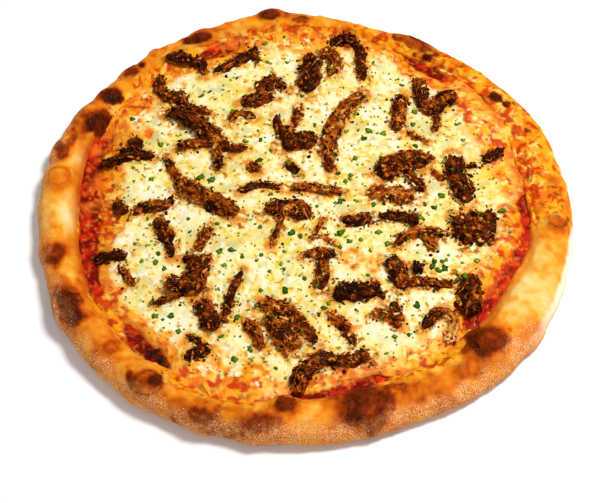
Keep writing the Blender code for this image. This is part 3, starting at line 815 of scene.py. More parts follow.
# %% The crust's finish
crust_finish = Finish(
    "baked_crust", Specular_IOR_Level=0.02,
    Subsurface_Weight=0.03, Subsurface_Radius=(0.6, 0.3, 0.1), Subsurface_Scale=0.003,
)
dusty, burnt = crust_finish.mask(0), crust_finish.mask(1)
fine, pores, speck = crust_finish.grain(0.9, 5.0), crust_finish.grain(3.0, 4.0), crust_finish.grain(1.3, 2.0)
crust_finish.stain((196, 120, 60), (0.5 - fine).between(0.08, 0.2) * 0.30, "MULTIPLY")
crust_finish.stain((255, 216, 130), (fine - 0.5).between(0.08, 0.2) * 0.08)
crust_finish.stain((44, 16, 7), (speck - 0.5).between(0.02, 0.14) * burnt * 0.30)
crust_finish.stain((196, 100, 26), (0.43 - speck).between(0.0, 0.1) * burnt * 0.14)
crust_finish.stain((246, 206, 156), (fine - 0.5).between(0.01, 0.09) * dusty * 0.8)
crust_finish.stain((140, 70, 26), (0.5 - fine).between(0.03, 0.12) * dusty * 0.5)
crust_finish.surface(0.36 + 0.34 * pores, fine * 0.6 + pores, 0.45, 0.9)

# %% The crust as a piece
UNDERSIDE_SHARES, LID_SHARES = (0.15, 0.35, 0.55, 0.75, 0.92), (0.9, 0.5)
under = around(radius[0] * np.array(UNDERSIDE_SHARES)[:, None], angle, 0.0)
lid = around(radius[-1] * np.array(LID_SHARES)[:, None], angle, BASE_TOP)
points = np.concatenate([under, skin, lid, [(0, 0, 0), (0, 0, BASE_TOP)]])
under_brown = 0.42 + 0.20 * layered(under, 16.0, 51) + 0.3 * rising(0.1, 0.6, noise(under, 9.0, 52))
under_flour = 0.5 * rising(-0.3, 0.6, noise(under, 12.0, 53))
under_paint = coated(ramp(under_brown, CRUST_RAMP), (FLOUR, under_flour))
paint = np.concatenate([under_paint, paint, np.tile(ORANGE_STAIN, (len(lid), 1)), [SAND, ORANGE_STAIN]])
on_skin = slice(len(under), len(under) + len(skin))
masks = np.zeros((len(points), 3))
masks[:len(under), 0] = 0.6
masks[on_skin, 0] = floury
masks[on_skin, 1] = rising(0.55, 0.72, brown) * (1 - inside * run_over)
faces = closed_grid(len(points) // RIM_COLUMNS, RIM_COLUMNS)
piece("baked_crust", points, faces, paint, crust_finish, "crust", "crust", masks=masks)

# %% [markdown]
# ## The sauce
# Tomato sauce shows as a wet red band wherever the cheese stops short of the rim. It is a thin disc
# under the cheese, so its middle needs few points. Its outer rows are close together and carry
# lumps of tomato, and they run just into the rim's foot, so that no gap shows. By the front left
# edge a few lumps burnt black.

# %% The sauce's form
SAUCE_COLUMNS, SAUCE_ROWS = 720, 40
SAUCE_BAND, SAUCE_TUCK = 34.0, 2.6
SAUCE_BOTTOM = BASE_TOP + 0.3
BURNT_LUMPS = ((-98, -109, 4.5, 1.0), (-93, -114, 4.5, 1.0), (-102, -106, 3.5, .7), (-89, -118, 3.5, .7))
angle = round_angles(SAUCE_COLUMNS)
foot = outline(RIM_FOOT_RADII, angle)
band = foot - SAUCE_BAND + (SAUCE_BAND + SAUCE_TUCK) * np.linspace(0, 1, SAUCE_ROWS)[:, None]
radius = np.concatenate([foot * np.array((0.25, 0.5))[:, None], band, [foot - 1.5]])
film = around(radius, angle, SAUCE_TOP)
wet = layered(film, 7.0, 61) * 0.42 + 0.28 * noise(film, 2.6, 62)
burnt = strongest(film, BURNT_LUMPS, 0.35, 3.0)
bare = strongest(film, BARE_SAUCE, 0.35, 2.5)
covered = 1 - rising(0.25, 0.6, bare + 0.12 * noise(film, 3.0, 60))
film[:, 2] += (
    wet + 0.5 * covered * noise(film, 3.4, 70) + burnt * (1.6 + 0.8 * noise(film, 2.0, 63)) + 1.1 * covered
)
beyond = np.hypot(film[:, 0], film[:, 1]) - outline(RIM_FOOT_RADII, bearing(film))
film[:, 2] += 1.6 * covered * rising(-7.0, 0.0, beyond) - 4.0 * rising(0.0, SAUCE_TUCK, beyond)
film[-SAUCE_COLUMNS:, 2] = SAUCE_BOTTOM
film = np.concatenate([film, [(0, 0, SAUCE_TOP), (0, 0, SAUCE_BOTTOM)]])
burnt, covered = np.concatenate([burnt, [0, 0]]), np.concatenate([covered, [1, 1]])
print("sauce: up to", film[:, 2].max().round(1), "mm")

# %% The sauce's colours
DEEP_RED, BRIGHT_RED, BURNT = hue(112, 5, 1), hue(208, 40, 8), hue(40, 14, 4)
SAUCE_ORANGE, OIL_AND_GLINT_ORANGE = hue(240, 118, 30), hue(246, 150, 70)
FRESH_SAUCE = (
    (116, -88, 14, .8), (126, -74, 14, .8), (134, -62, 14, .8), (151, -38, 14, .6), (156, -12, 16, .5),
)
ORANGE_SAUCE = (
    (-105, 70, 7, .7), (-130, 70, 14, .8), (-127, 65, 10, .8), (-143, 60, 5, .8), (-140, 22, 10, .8),
    (-138, 32, 8, .8), (-145, 12, 8, .6), (-52, 148, 14, .7), (-40, 150, 8, .7), (-45, 158, 12, .7),
    (12, 158, 12, .6), (52, 146, 5, .7), (65, 146, 8, .7), (72, 137, 8, .7), (120, -65, 10, .6),
    (118, -72, 5, .6), (140, 30, 8, .7), (145, 27, 6, .7), (130, 80, 8, .7), (-40, -133, 15, .6),
    (70, -125, 12, .6), (-75, -125, 8, .6),
)
fresh = strongest(film, FRESH_SAUCE, 0.4, 2.0)
orange = strongest(film, ORANGE_SAUCE, 0.4, 2.0)
paint = coated(
    DEEP_RED,
    (BRIGHT_RED, rising(-0.15, 0.75, layered(film, 6.0, 64))),
    (BRIGHT_RED, fresh * rising(-0.35, 0.35, layered(film, 4.5, 68))),
    (SAUCE_ORANGE, 0.7 * fresh * rising(0.30, 0.65, layered(film, 3.2, 69))),
    (SAUCE_ORANGE, orange * rising(-0.5, 0.3, layered(film, 5.0, 65))),
    (SAUCE_ORANGE, 0.45 * rising(0.3, 0.6, noise(film, 2.4, 66))),
    # Pale orange dots: drops of cheese oil, and painted glints on the wet sauce.
    (OIL_AND_GLINT_ORANGE, 0.40 * rising(0.56, 0.76, noise(film, 2.0, 67))),
)
paint = coated(marbled(paint, film, 0.95 * covered, 0.15), (BURNT, burnt * 1.1))

# %% The sauce's finish and piece
sauce_finish = Finish(
    "tomato_sauce", Coat_Roughness=0.12, Specular_IOR_Level=0.04,
    Subsurface_Weight=0.08, Subsurface_Radius=(0.8, 0.15, 0.05), Subsurface_Scale=0.002,
)
pulp = sauce_finish.grain(1.4, 4.0)
sauce_finish.stain((236, 96, 30), (pulp - 0.5).between(0.05, 0.25) * 0.35)
sauce_finish.surface(0.24 + 0.3 * pulp, pulp, 0.4, coat=(pulp - 0.52).between(0.03, 0.14) * 0.25)
faces = closed_grid(len(radius), SAUCE_COLUMNS, flipped=True)
piece("tomato_sauce", film, faces, paint, sauce_finish, "sauce", "sauce")

# %% [markdown]
# ## Where the chicken lies
# The shredded chicken lies in 52 clumps. Each clump is one or more shreds, and a shred is its
# greatest width and the points that its middle line runs through. The cheese needs these places
# too, because it is flat under the meat and melts up against its sides.

# %% The clumps
CHICKEN = (
    (
        (8, (-93, 141), (-82, 140), (-71, 135)),
        (5, (-84, 139), (-82, 147)),
        (8, (-75, 136), (-67, 135), (-65, 123)),
    ),
    ((8, (-57, 127), (-46, 132), (-35, 139), (-26, 147)), (5, (-28, 143), (-25, 133))),
    (
        (7, (-97, 125), (-98, 114), (-95, 103)),
        (11, (-97, 104), (-88, 104), (-80, 101)),
        (9, (-84, 104), (-80, 96), (-80, 86)),
        (13, (-91, 88), (-82, 85), (-72, 78), (-64, 70), (-56, 61), (-48, 51)),
        (6, (-78, 89), (-70, 90), (-60, 86)),
        (7, (-84, 56), (-74, 59), (-55, 57)),
        (6, (-58, 64), (-55, 46), (-55, 34)),
        (4, (-54, 56), (-44, 52), (-34, 52)),
    ),
    (
        (10, (-27, 106), (-17, 114), (-5, 107)),
        (11, (-38, 93), (-28, 97), (-15, 99)),
        (8, (-17, 111), (-18, 99)),
    ),
    ((6, (-47, 78), (-41, 85), (-34, 84), (-28, 80)),),
    ((7, (-13, 82), (-12, 72), (-9, 64), (-5, 56)), (14, (-10, 53), (2, 56), (15, 56))),
    ((6, (3, 89), (1, 78), (-2, 69)),),
    ((12, (50, 98), (38, 86), (29, 70), (23, 50), (22, 42)), (7, (22, 46), (22, 36), (24, 28))),
    ((14, (14, 138), (13, 126), (12, 113), (11, 102)),),
    ((11, (21, 135), (28, 139), (31, 129), (28, 117)),),
    ((10, (29, 147), (38, 151), (49, 150)), (8, (42, 152), (50, 142), (50, 126), (52, 111))),
    ((10, (78, 95), (76, 83), (73, 70), (73, 62)),),
    (
        (5, (89, 110), (91, 98)),
        (10, (93, 108), (91, 96), (93, 82)),
        (12, (91, 84), (102, 82), (110, 90), (118, 90)),
        (5, (101, 84), (101, 70), (100, 60)),
    ),
    ((5, (80, 61), (86, 55), (93, 50)),),
    (
        (17, (58, 21), (64, 29), (72, 34)),
        (14, (68, 30), (82, 36), (90, 30)),
        (8, (76, 29), (81, 16), (86, 7)),
    ),
    ((12, (48, 6), (59, 8), (69, 5), (79, 2)),),
    ((6, (93, 25), (97, 20), (101, 16)),),
    ((14, (109, 36), (110, 22), (112, 8), (115, -4)), (4, (111, 28), (120, 27), (125, 28))),
    ((8, (129, 32), (137, 35), (145, 41)),),
    ((13, (106, -15), (109, -26), (112, -38)), (23, (112, -23), (132, -26))),
    ((9, (28, -13), (40, -14), (49, -12)),),
    ((9, (54, -12), (65, -12), (75, -15), (80, -19)),),
    ((8, (62, -36), (71, -29), (83, -27), (93, -28), (101, -29)), (7, (83, -28), (89, -40))),
    ((11, (56, -47), (63, -54), (63, -70)), (7, (60, -68), (75, -66), (89, -68), (98, -71))),
    ((10, (73, -55), (80, -56)),),
    ((15, (108, -62), (109, -78), (105, -94)),),
    ((12, (19, -73), (34, -71), (49, -72)), (6, (46, -64), (52, -78))),
    ((7, (15, -86), (23, -94), (28, -103), (31, -111)),),
    ((7, (43, -87), (52, -90), (60, -100)), (7, (57, -80), (60, -88), (61, -99))),
    ((8, (76, -101), (83, -92), (93, -89)), (7, (90, -87), (96, -96), (93, -106), (90, -114))),
    ((9, (-37, -88), (-32, -99), (-27, -110)),),
    (
        (9, (-31, -76), (-20, -79), (-9, -82)),
        (15, (-22, -80), (-16, -98), (-8, -113)),
        (9, (-11, -80), (-1, -98), (7, -108)),
    ),
    ((12, (-5, -144), (-3, -132), (5, -123), (18, -119)), (9, (13, -122), (28, -122), (40, -119))),
    ((8, (-140, -35), (-129, -34), (-117, -34)),),
    ((6, (-122, -42), (-116, -50), (-113, -58)),),
    ((10, (-98, -4), (-93, -15), (-88, -25)), (5, (-89, -22), (-87, -37))),
    ((7, (-61, -13), (-66, -23), (-70, -33)),),
    (
        (6, (-80, -38), (-70, -40), (-60, -38)),
        (14, (-70, -38), (-69, -52), (-71, -66)),
        (12, (-91, -58), (-80, -61), (-67, -62)),
        (4, (-99, -73), (-87, -69), (-74, -63)),
    ),
    ((13, (-67, -72), (-63, -83), (-58, -95)),),
    ((6, (-40, -50), (-46, -64), (-50, -78), (-52, -90)),),
    ((8, (-78, -115), (-70, -111), (-61, -110)), (5, (-75, -99), (-69, -103), (-67, -112))),
    (
        (8, (-139, 44), (-126, 48), (-113, 52), (-100, 50)),
        (9, (-115, 68), (-113, 52)),
        (6, (-125, 55), (-118, 54)),
    ),
    ((6, (-93, 51), (-89, 40), (-84, 29), (-80, 20)), (13, (-85, 25), (-70, 15), (-57, 6), (-43, -5))),
    ((9, (-127, 11), (-119, 1)),),
    ((8, (-114, 0), (-105, 6), (-94, 6), (-86, 11)),),
    ((6, (-41, 15), (-28, 20), (-13, 16)),),
    ((8, (-34, 39), (-28, 32)),),
    ((7, (-7, 38), (0, 29)),),
    ((8, (-5, 16), (7, 16), (18, 13), (30, 9)),),
    ((13, (-23, -4), (-12, -1), (0, -3), (2, -12)), (5, (-10, -2), (-15, -17), (-21, -31))),
    ((4, (16, -9), (12, -19), (7, -28)), (4, (5, -25), (16, -27), (23, -34))),
    ((8, (1, -40), (12, -40), (23, -42)), (9, (13, -39), (14, -54), (11, -68))),
)
SHREDS = [(number, layer, shred) for number, clump in enumerate(CHICKEN) for layer, shred in enumerate(clump)]
print(len(SHREDS), "shreds in", len(CHICKEN), "clumps")

# %% Along a shred
SHORT_STEP = 0.02
FAR_AWAY = 20.0
LINE_POINTS = 24


def shred_length(shred):
    """The length of the straight lines between a shred's points."""
    return np.linalg.norm(np.diff(np.array(shred[1:], float), axis=0), axis=1).sum()


def shred_course(shred, share):
    """At each share of a shred's length: the place on its middle line, the direction ahead, found
    between a short step back and one on, and the direction to its left."""
    knots = np.array(shred[1:], float)
    onward = smooth_through(knots, np.minimum(share + SHORT_STEP, 1))
    ahead = onward - smooth_through(knots, np.maximum(share - SHORT_STEP, 0))
    ahead /= np.linalg.norm(ahead, axis=1)[:, None]
    return smooth_through(knots, share), ahead, leftward(ahead)


def swell_at(share):
    """How full a shred is along its length: the root of 1 - |2 share - 1|^3.2, so its ends are round."""
    return (1 - np.abs(2 * share - 1) ** 3.2) ** 0.5


def clearance(at):
    """Distance from each place to the nearest shred's side, negative under one and 20 at most."""
    best = np.full(len(at), FAR_AWAY)
    for _, _, shred in SHREDS:
        line = smooth_through(np.array(shred[1:], float), np.linspace(0, 1, LINE_POINTS))
        reach = FAR_AWAY + shred[0] / 2
        near = np.flatnonzero(((at > line.min(axis=0) - reach) & (at < line.max(axis=0) + reach)).all(axis=1))
        away = np.min([np.hypot(*(at[near] - place).T) for place in line], axis=0) - shred[0] / 2
        best[near] = np.minimum(best[near], away)
    return best


print("from the middle of the pizza to the nearest meat:", clearance(np.zeros((1, 2))).round(1), "mm")

# %% [markdown]
# ## The cheese
# Melted mozzarella sets in soft hummocks, flat under the chicken and rounded off at its ragged edge.
# The grid is a square bent into a disc, so that its cells stay about equal and none meet at a point.
# Finer noise adds the small lumps and the pits where steam came through, and the cheese climbs a
# little where it meets a shred.

# %% The cheese's form
CHEESE_UNDERSIDE = 6.6
CHEESE_EDGE_LEVEL = 6.7
CHEESE_CELLS = 300
# From where to where, in degrees, the cheese ran on to the rim.
RUNS_OVER = ((-124, -96), (-69, -47), (2, 41), (60, 100), (136, 146))


def runs_over(angle):
    """1 where the cheese ran on to the rim and 0 elsewhere."""
    at = (np.degrees(angle) + 180) % 360 - 180
    runs = [rising(low - 4, low + 2, at) * (1 - rising(high - 2, high + 4, at)) for low, high in RUNS_OVER]
    return np.max(runs, axis=0)


def cheese_edge(angle):
    """The edge's radius: the outline, two sine waves and finer noise, kept inside the rim's foot,
    except where the cheese ran over."""
    over = runs_over(angle)
    edge = outline(CHEESE_RADII, angle) + 1.6 * np.sin(17 * angle) + 1.1 * np.sin(29 * angle + 1)
    edge = np.minimum(edge + 9.0 * over, outline(RIM_FOOT_RADII, angle) - 3.2 + 7.0 * over)
    place = around(edge, angle, 0.0)
    return edge + 1.2 * noise(place, 6.5, 71) + 0.7 * noise(place, 2.7, 72)


def cheese_relief(at, clear):
    """Soft hummocks from two bent sine waves, flat where chicken lies."""
    x, y = at.T
    hummocks = np.sin(x / 9.5 + 1.3 * np.sin(y / 17)) + np.sin(y / 8.5 + 1.7 * np.sin(x / 15))
    return (0.75 + 0.45 * hummocks) * np.clip((clear - 7) / 8, 0, 1)


def cheese_level(at):
    """The cheese's top: its thickness, hummocks, noise and pits, rising against the meat and
    rounded off at the edge. Gives the clearance too."""
    flat, clear, angle = laid_flat(at), clearance(at), bearing(at)
    level = CHEESE_TOP + cheese_relief(at, clear)
    level += 0.45 * layered(flat, 6.0, 73) + 0.16 * noise(flat, 1.9, 74)
    level -= 0.9 * rising(0.55, 0.9, noise(flat, 3.4, 75))
    level += 0.8 * bell(np.maximum(clear, 0), 0, 2.2) * rising(-0.4, 0.5, noise(flat, 5.0, 76))
    share = np.hypot(*at.T) / cheese_edge(angle)
    lip = np.sqrt(np.clip(1 - np.clip((share - 0.90) / 0.10, 0, 1) ** 2.2, 0, 1))
    low = CHEESE_EDGE_LEVEL + 2.3 * runs_over(angle)
    return low + (level - low) * lip, clear


side = np.linspace(-1, 1, CHEESE_CELLS + 1)
u, v = (part.ravel() for part in np.meshgrid(side, side, indexing="ij"))
bent = np.column_stack([u * np.sqrt(1 - v**2 / 2), v * np.sqrt(1 - u**2 / 2)])
share, angle = np.hypot(*bent.T), bearing(bent)
cheese_at = (cheese_edge(angle) * share)[:, None] * compass(angle)
cheese_top, cheese_clear = cheese_level(cheese_at)
curd = np.column_stack([cheese_at, cheese_top])
print("cheese: from", curd[:, 2].min().round(2), "to", curd[:, 2].max().round(2), "mm")

# %% [markdown]
# Baked mozzarella isn't one yellow. It is cream in the main, greener and greyer where it is thick
# and wet, white in painted highlights where it is glossy, orange where the sauce shows through or
# where the meat's spiced fat ran into it, with painted shade in that orange right beside the meat,
# and brown on a few high points. Each of these is a mask.

# %% Patches of the cheese
SAUCE_UNDER = (
    (-92, 127, 6, 1), (-88, 122, 5, 1), (-52, 148, 14, 1), (-40, 150, 8, 1), (-45, 158, 12, 1),
    (5, 146, 6, 1), (12, 141, 4, 1), (52, 146, 5, 1), (65, 146, 8, 1), (72, 137, 8, 1), (77, 135, 5, 1),
    (-105, 70, 4, .8), (-130, 70, 14, 1), (-127, 65, 10, 1), (-143, 60, 5, 1), (-140, 22, 10, 1),
    (-138, 32, 8, 1), (-145, 12, 8, 1), (33, -46, 5, 1), (37, -43, 5, 1), (34, -50, 4, 1), (28, -95, 5, .9),
    (32, -95, 4, .9), (45, -52, 4, .9), (120, -65, 10, 1), (118, -72, 5, 1), (140, 30, 8, 1), (145, 27, 6, 1),
    (-75, -112, 10, .9), (-87, -112, 8, .9), (-70, -113, 8, .9), (-75, -125, 8, .9), (-55, -115, 5, .8),
    (-40, -133, 15, .8), (-33, -125, 5, .8), (70, -125, 12, .9), (-73, -132, 8, .9), (130, 80, 8, .9),
    (135, 88, 6, .9), (12, 158, 12, .9),
)
OILY = (
    (128, 20, 14, 1), (140, 5, 10, 1), (135, -6, 8, 1), (123, 60, 6, 1), (132, 58, 6, 1), (95, -12, 12, .8),
    (35, 105, 6, .8), (-40, 110, 12, .8), (-35, -20, 18, .6), (0, -95, 10, .8), (-110, -72, 8, .8),
)
# Spots where white is painted as a highlight on the glossy cheese: x, y, radius, strength.
PAINTED_SHEEN_SPOTS = (
    (20, 85, 8, 1), (15, 92, 6, 1), (-80, 2, 7, 1), (-75, -3, 5, 1), (-100, 17, 6, 1), (80, 12, 8, 1),
    (72, 0, 5, 1), (60, -100, 8, 1), (75, -85, 8, 1), (84, -107, 8, 1), (-105, 18, 8, 1), (100, 103, 6, 1),
    (108, 98, 4, 1), (-85, 115, 6, 1), (-67, -67, 4, 1), (-125, -45, 8, 1), (15, -137, 8, 1), (68, -76, 6, 1),
    (-80, -90, 10, 1), (43, -95, 6, .9), (115, -38, 6, 1), (148, -33, 5, 1),
)

# %% The cheese's colours
CREAM, PALE_YELLOW, WHITE_CURD_AND_SHEEN = hue(233, 224, 156), hue(241, 231, 178), hue(241, 234, 204)
GREY_CURD, BUTTER, DEEP_BUTTER = hue(198, 192, 140), hue(234, 198, 44), hue(222, 190, 40)
GREASE_AND_SHADE, AMBER, CHAR_SPOT = hue(208, 110, 8), hue(220, 126, 10), hue(116, 50, 8)
flat = laid_flat(cheese_at)
melt = warped(flat, 3.0, 7.0, 80)
buttery = noise(flat, 2.3, 98) + 0.35 * layered(flat, 16.0, 99)
oily = strongest(cheese_at, OILY, 0.4, 2.0) * rising(-0.6, 0.2, noise(flat, 3.0, 85))
beside, farther = (bell(np.maximum(cheese_clear, 0), 0, width) for width in (2.1, 3.6))
seeping = layered(flat, 3.5, 86)
flecks = layered(flat, 2.7, 91, 2)
browned = flecks + 0.28 * beside + 0.14 * noise(flat, 22.0, 94)
paint = coated(
    CREAM,
    (PALE_YELLOW, rising(-0.3, 0.5, layered(melt, 12.0, 81))),
    (GREY_CURD, 0.85 * rising(0.05, 0.60, layered(melt, 8.0, 82))),
    (WHITE_CURD_AND_SHEEN, 0.9 * rising(0.1, 0.5, layered(melt, 6.0, 83))),
    (BUTTER, 0.45 * rising(0.15, 0.55, layered(melt, 6.0, 84))),
    (DEEP_BUTTER, 0.95 * rising(0.36, 0.50, buttery)),
    (BUTTER, 0.9 * oily),
    # Painted highlight: white at the glossy spots.
    (WHITE_CURD_AND_SHEEN, 0.85 * strongest(cheese_at, PAINTED_SHEEN_SPOTS, 0.4, 2.0)),
    (BUTTER, 0.8 * farther * rising(-0.35, 0.3, seeping)),
    # Spiced fat from the meat, and painted shade on the cheese right beside it.
    (GREASE_AND_SHADE, 0.95 * beside * rising(-0.35, 0.25, seeping)),
    (BUTTER, 0.9 * rising(0.40, 0.58, browned)),
    (AMBER, 0.92 * rising(0.55, 0.72, browned)),
    (CHAR_SPOT, 0.9 * rising(0.78, 1.0, flecks + 0.42 * beside)),
)

# %% Where sauce shows through the cheese
RED_UNDER, ORANGE_UNDER = hue(190, 34, 6), hue(224, 96, 14)
GOLD_UNDER, THINNEST_GOLD, HERB_SPECK = hue(238, 170, 30), hue(236, 160, 40), hue(98, 118, 26)
mottle = layered(melt, 4.5, 88)
thin = strongest(cheese_at, SAUCE_UNDER, 0.45, 2.2) * (0.52 + 0.85 * mottle)
shows = rising(0.15, 0.50, thin)
near_edge = rising(0.90, 0.985, share + 0.035 * layered(flat, 7.0, 87))
fading = strongest(cheese_at, FADING, 0.3, 2.0)
worn = np.maximum(0.9 * near_edge, fading * rising(-0.5, 0.1, mottle + 4.0 * (share - 0.85)))
thinnest = strongest(cheese_at, BARE_SAUCE, 0.4, 3.0)
paint = coated(
    paint,
    (GOLD_UNDER, 0.95 * rising(-0.02, 0.25, thin)),
    (ORANGE_UNDER, 0.9 * shows),
    (RED_UNDER, 0.9 * shows * rising(0.1, 0.6, layered(melt, 3.6, 90))),
)
paint = coated(
    marbled(paint, curd, 0.9 * worn, 0.04),
    (THINNEST_GOLD, 0.9 * np.minimum(2.5 * thinnest, 1)),
    (RED_UNDER, 0.85 * thinnest * rising(-0.5, 0.1, layered(melt, 4.0, 89))),
    (HERB_SPECK, 0.85 * rising(0.78, 0.90, noise(flat, 1.35, 92))),
)
print("cheese: mean colour", paint.mean(axis=0).round(3))

# %% The cheese's finish and piece
cheese_finish = Finish(
    "melted_cheese", Coat_Roughness=0.2, Specular_IOR_Level=0.14,
    Subsurface_Weight=0.05, Subsurface_Radius=(1.0, 0.8, 0.45), Subsurface_Scale=0.002,
)
fine, soft, clean = cheese_finish.grain(0.8, 4.0), cheese_finish.grain(2.4), cheese_finish.mask(0)
cheese_finish.stain((214, 186, 80), (0.47 - soft).between(0.0, 0.16) * clean * 0.32)
cheese_finish.stain((255, 246, 216), (fine - 0.54).between(0.0, 0.14) * clean * 0.25)
oil = (soft - 0.5).between(0.04, 0.14) * 0.35
cheese_finish.surface(0.18 + 0.34 * soft, fine * 0.3 + soft, 0.4, coat=oil)
count = CHEESE_CELLS + 1
at = np.arange(count * count).reshape(count, count)
loop = np.concatenate([at[:-1, 0], at[-1, :-1], at[:0:-1, -1], at[0, :0:-1]])
faces = grid_quads(count, count, wrap=False)[:, ::-1], fan(count * count, loop, flipped=True)
points, paint = np.concatenate([curd, [(0, 0, CHEESE_UNDERSIDE)]]), np.concatenate([paint, [CREAM]])
masks = np.zeros((len(points), 3))
masks[:-1, 0] = 1 - np.clip(np.maximum.reduce([1.5 * worn, shows, 2.5 * thinnest]), 0, 1)
piece("melted_cheese", points, faces, paint, cheese_finish, "cheese", "cheese", masks=masks)

# %% [markdown]
# ## The chicken
# Jerk chicken is rubbed dark with allspice, pepper and thyme, charred, and pulled apart along its
# grain. So a shred is nearly black where its outside shows, and orange-brown with long creases
# where it tore. Each core below is a low arch carried along the shred's middle line, resting on the
# cheese. The creases are noise stretched along the grain.

# %% The chicken's tones
# How dark each clump is on the whole, from 0, golden, to 1, black.
TONES = (
    .72, .78, .70, .72, .50, .72, .38, .42, .80, .45, .82, .60, .68, .45, .62, .38, .50, .75, .70, .72, .72,
    .88, .50, .70, .95, .75, .85, .55, .55, .70, .50, .52, .70, .95, .55, .75, .45, .70, .78, .72, .85, .85,
    .60, .68, .68, .85, .70, .85, .55, .60, .40, .65,
)
# Places that differ from their clump: x, y, radius, tone.
TONE_SPOTS = (
    (-65, 125, 7, .45), (-82, 147, 5, .92), (-78, 57, 6, .45), (-68, 58, 6, .42), (-58, 57, 5, .45),
    (38, 153, 6, .97), (44, 151, 5, .95), (76, 66, 6, .45), (79, 82, 5, .5), (128, 28, 6, .97),
    (75, -55, 6, .98), (80, -56, 5, .98), (64, -68, 5, .42), (76, -66, 6, .40), (90, -68, 6, .40),
    (93, -96, 7, .02), (93, -106, 7, -.08), (90, -114, 6, -.05), (-125, 55, 6, .96), (-118, 54, 5, .92),
    (-50, -88, 6, .38), (-68, -20, 5, .4), (14, 15, 7, .38), (24, 12, 7, .38),
)
MEAT_RAMP = (
    (-0.30, hue(240, 212, 132)), (-0.08, hue(236, 180, 84)),
    (0.00, hue(226, 156, 66)), (0.20, hue(208, 112, 26)), (0.40, hue(172, 76, 12)), (0.56, hue(120, 44, 5)),
    (0.72, hue(76, 25, 3)), (0.88, hue(42, 12, 2)), (1.00, hue(20, 7, 2)),
)


def tone_at(at, own):
    """The clump's tone, a little lighter than listed, moved towards that of any spot in reach."""
    return washed(own - 0.06, at, TONE_SPOTS, 0.3)


# %% What the meat rests on
INNER_WALL, WALL_STEPS = (0.7, 1.0), 16


def ground(at):
    """The level under each place: the cheese inside its edge, the sauce past it, and the inner wall
    of the rim where that is higher."""
    angle, away = bearing(at), np.hypot(*at.T)
    on_cheese = CHEESE_TOP + cheese_relief(at, clearance(at))
    level = np.where(away < outline(CHEESE_RADII, angle), on_cheese, SAUCE_TOP)
    wall, height = rim_section(angle, np.linspace(*INNER_WALL, WALL_STEPS))
    for outer, inner, high, low in zip(wall, wall[1:], height, height[1:]):
        t = (away - inner) / (outer - inner)
        level = np.where((t >= 0) & (t < 1), np.maximum(level, low + t * (high - low)), level)
    return level


def running_highest(level, reach):
    """The highest value within so many steps to either side of each one."""
    padded = np.pad(level, reach, mode="edge")
    return np.lib.stride_tricks.sliding_window_view(padded, 2 * reach + 1).max(axis=1)


# %% The shreds
RING_STEP, LEAST_RINGS = 0.85, 8
SHRED_SIDES = 22
SEAT_REACH = 10.2
SHRED_SINK, LAYER_STEP, FEET_SINK = 0.2, 0.45, 0.9
SHRED_HEIGHTS = (2.2, 7.0)
# The grain's noise is this long and this wide. The flanks' noise is read this far apart.
GRAIN_LENGTH, GRAIN_WIDTH, FLANKS_APART = 5.0, 1.15, 30.0
# How far the noise is shifted for each clump and for each shred of a clump.
CLUMP_SHIFT, SHRED_SHIFT = 41.7, 13.3


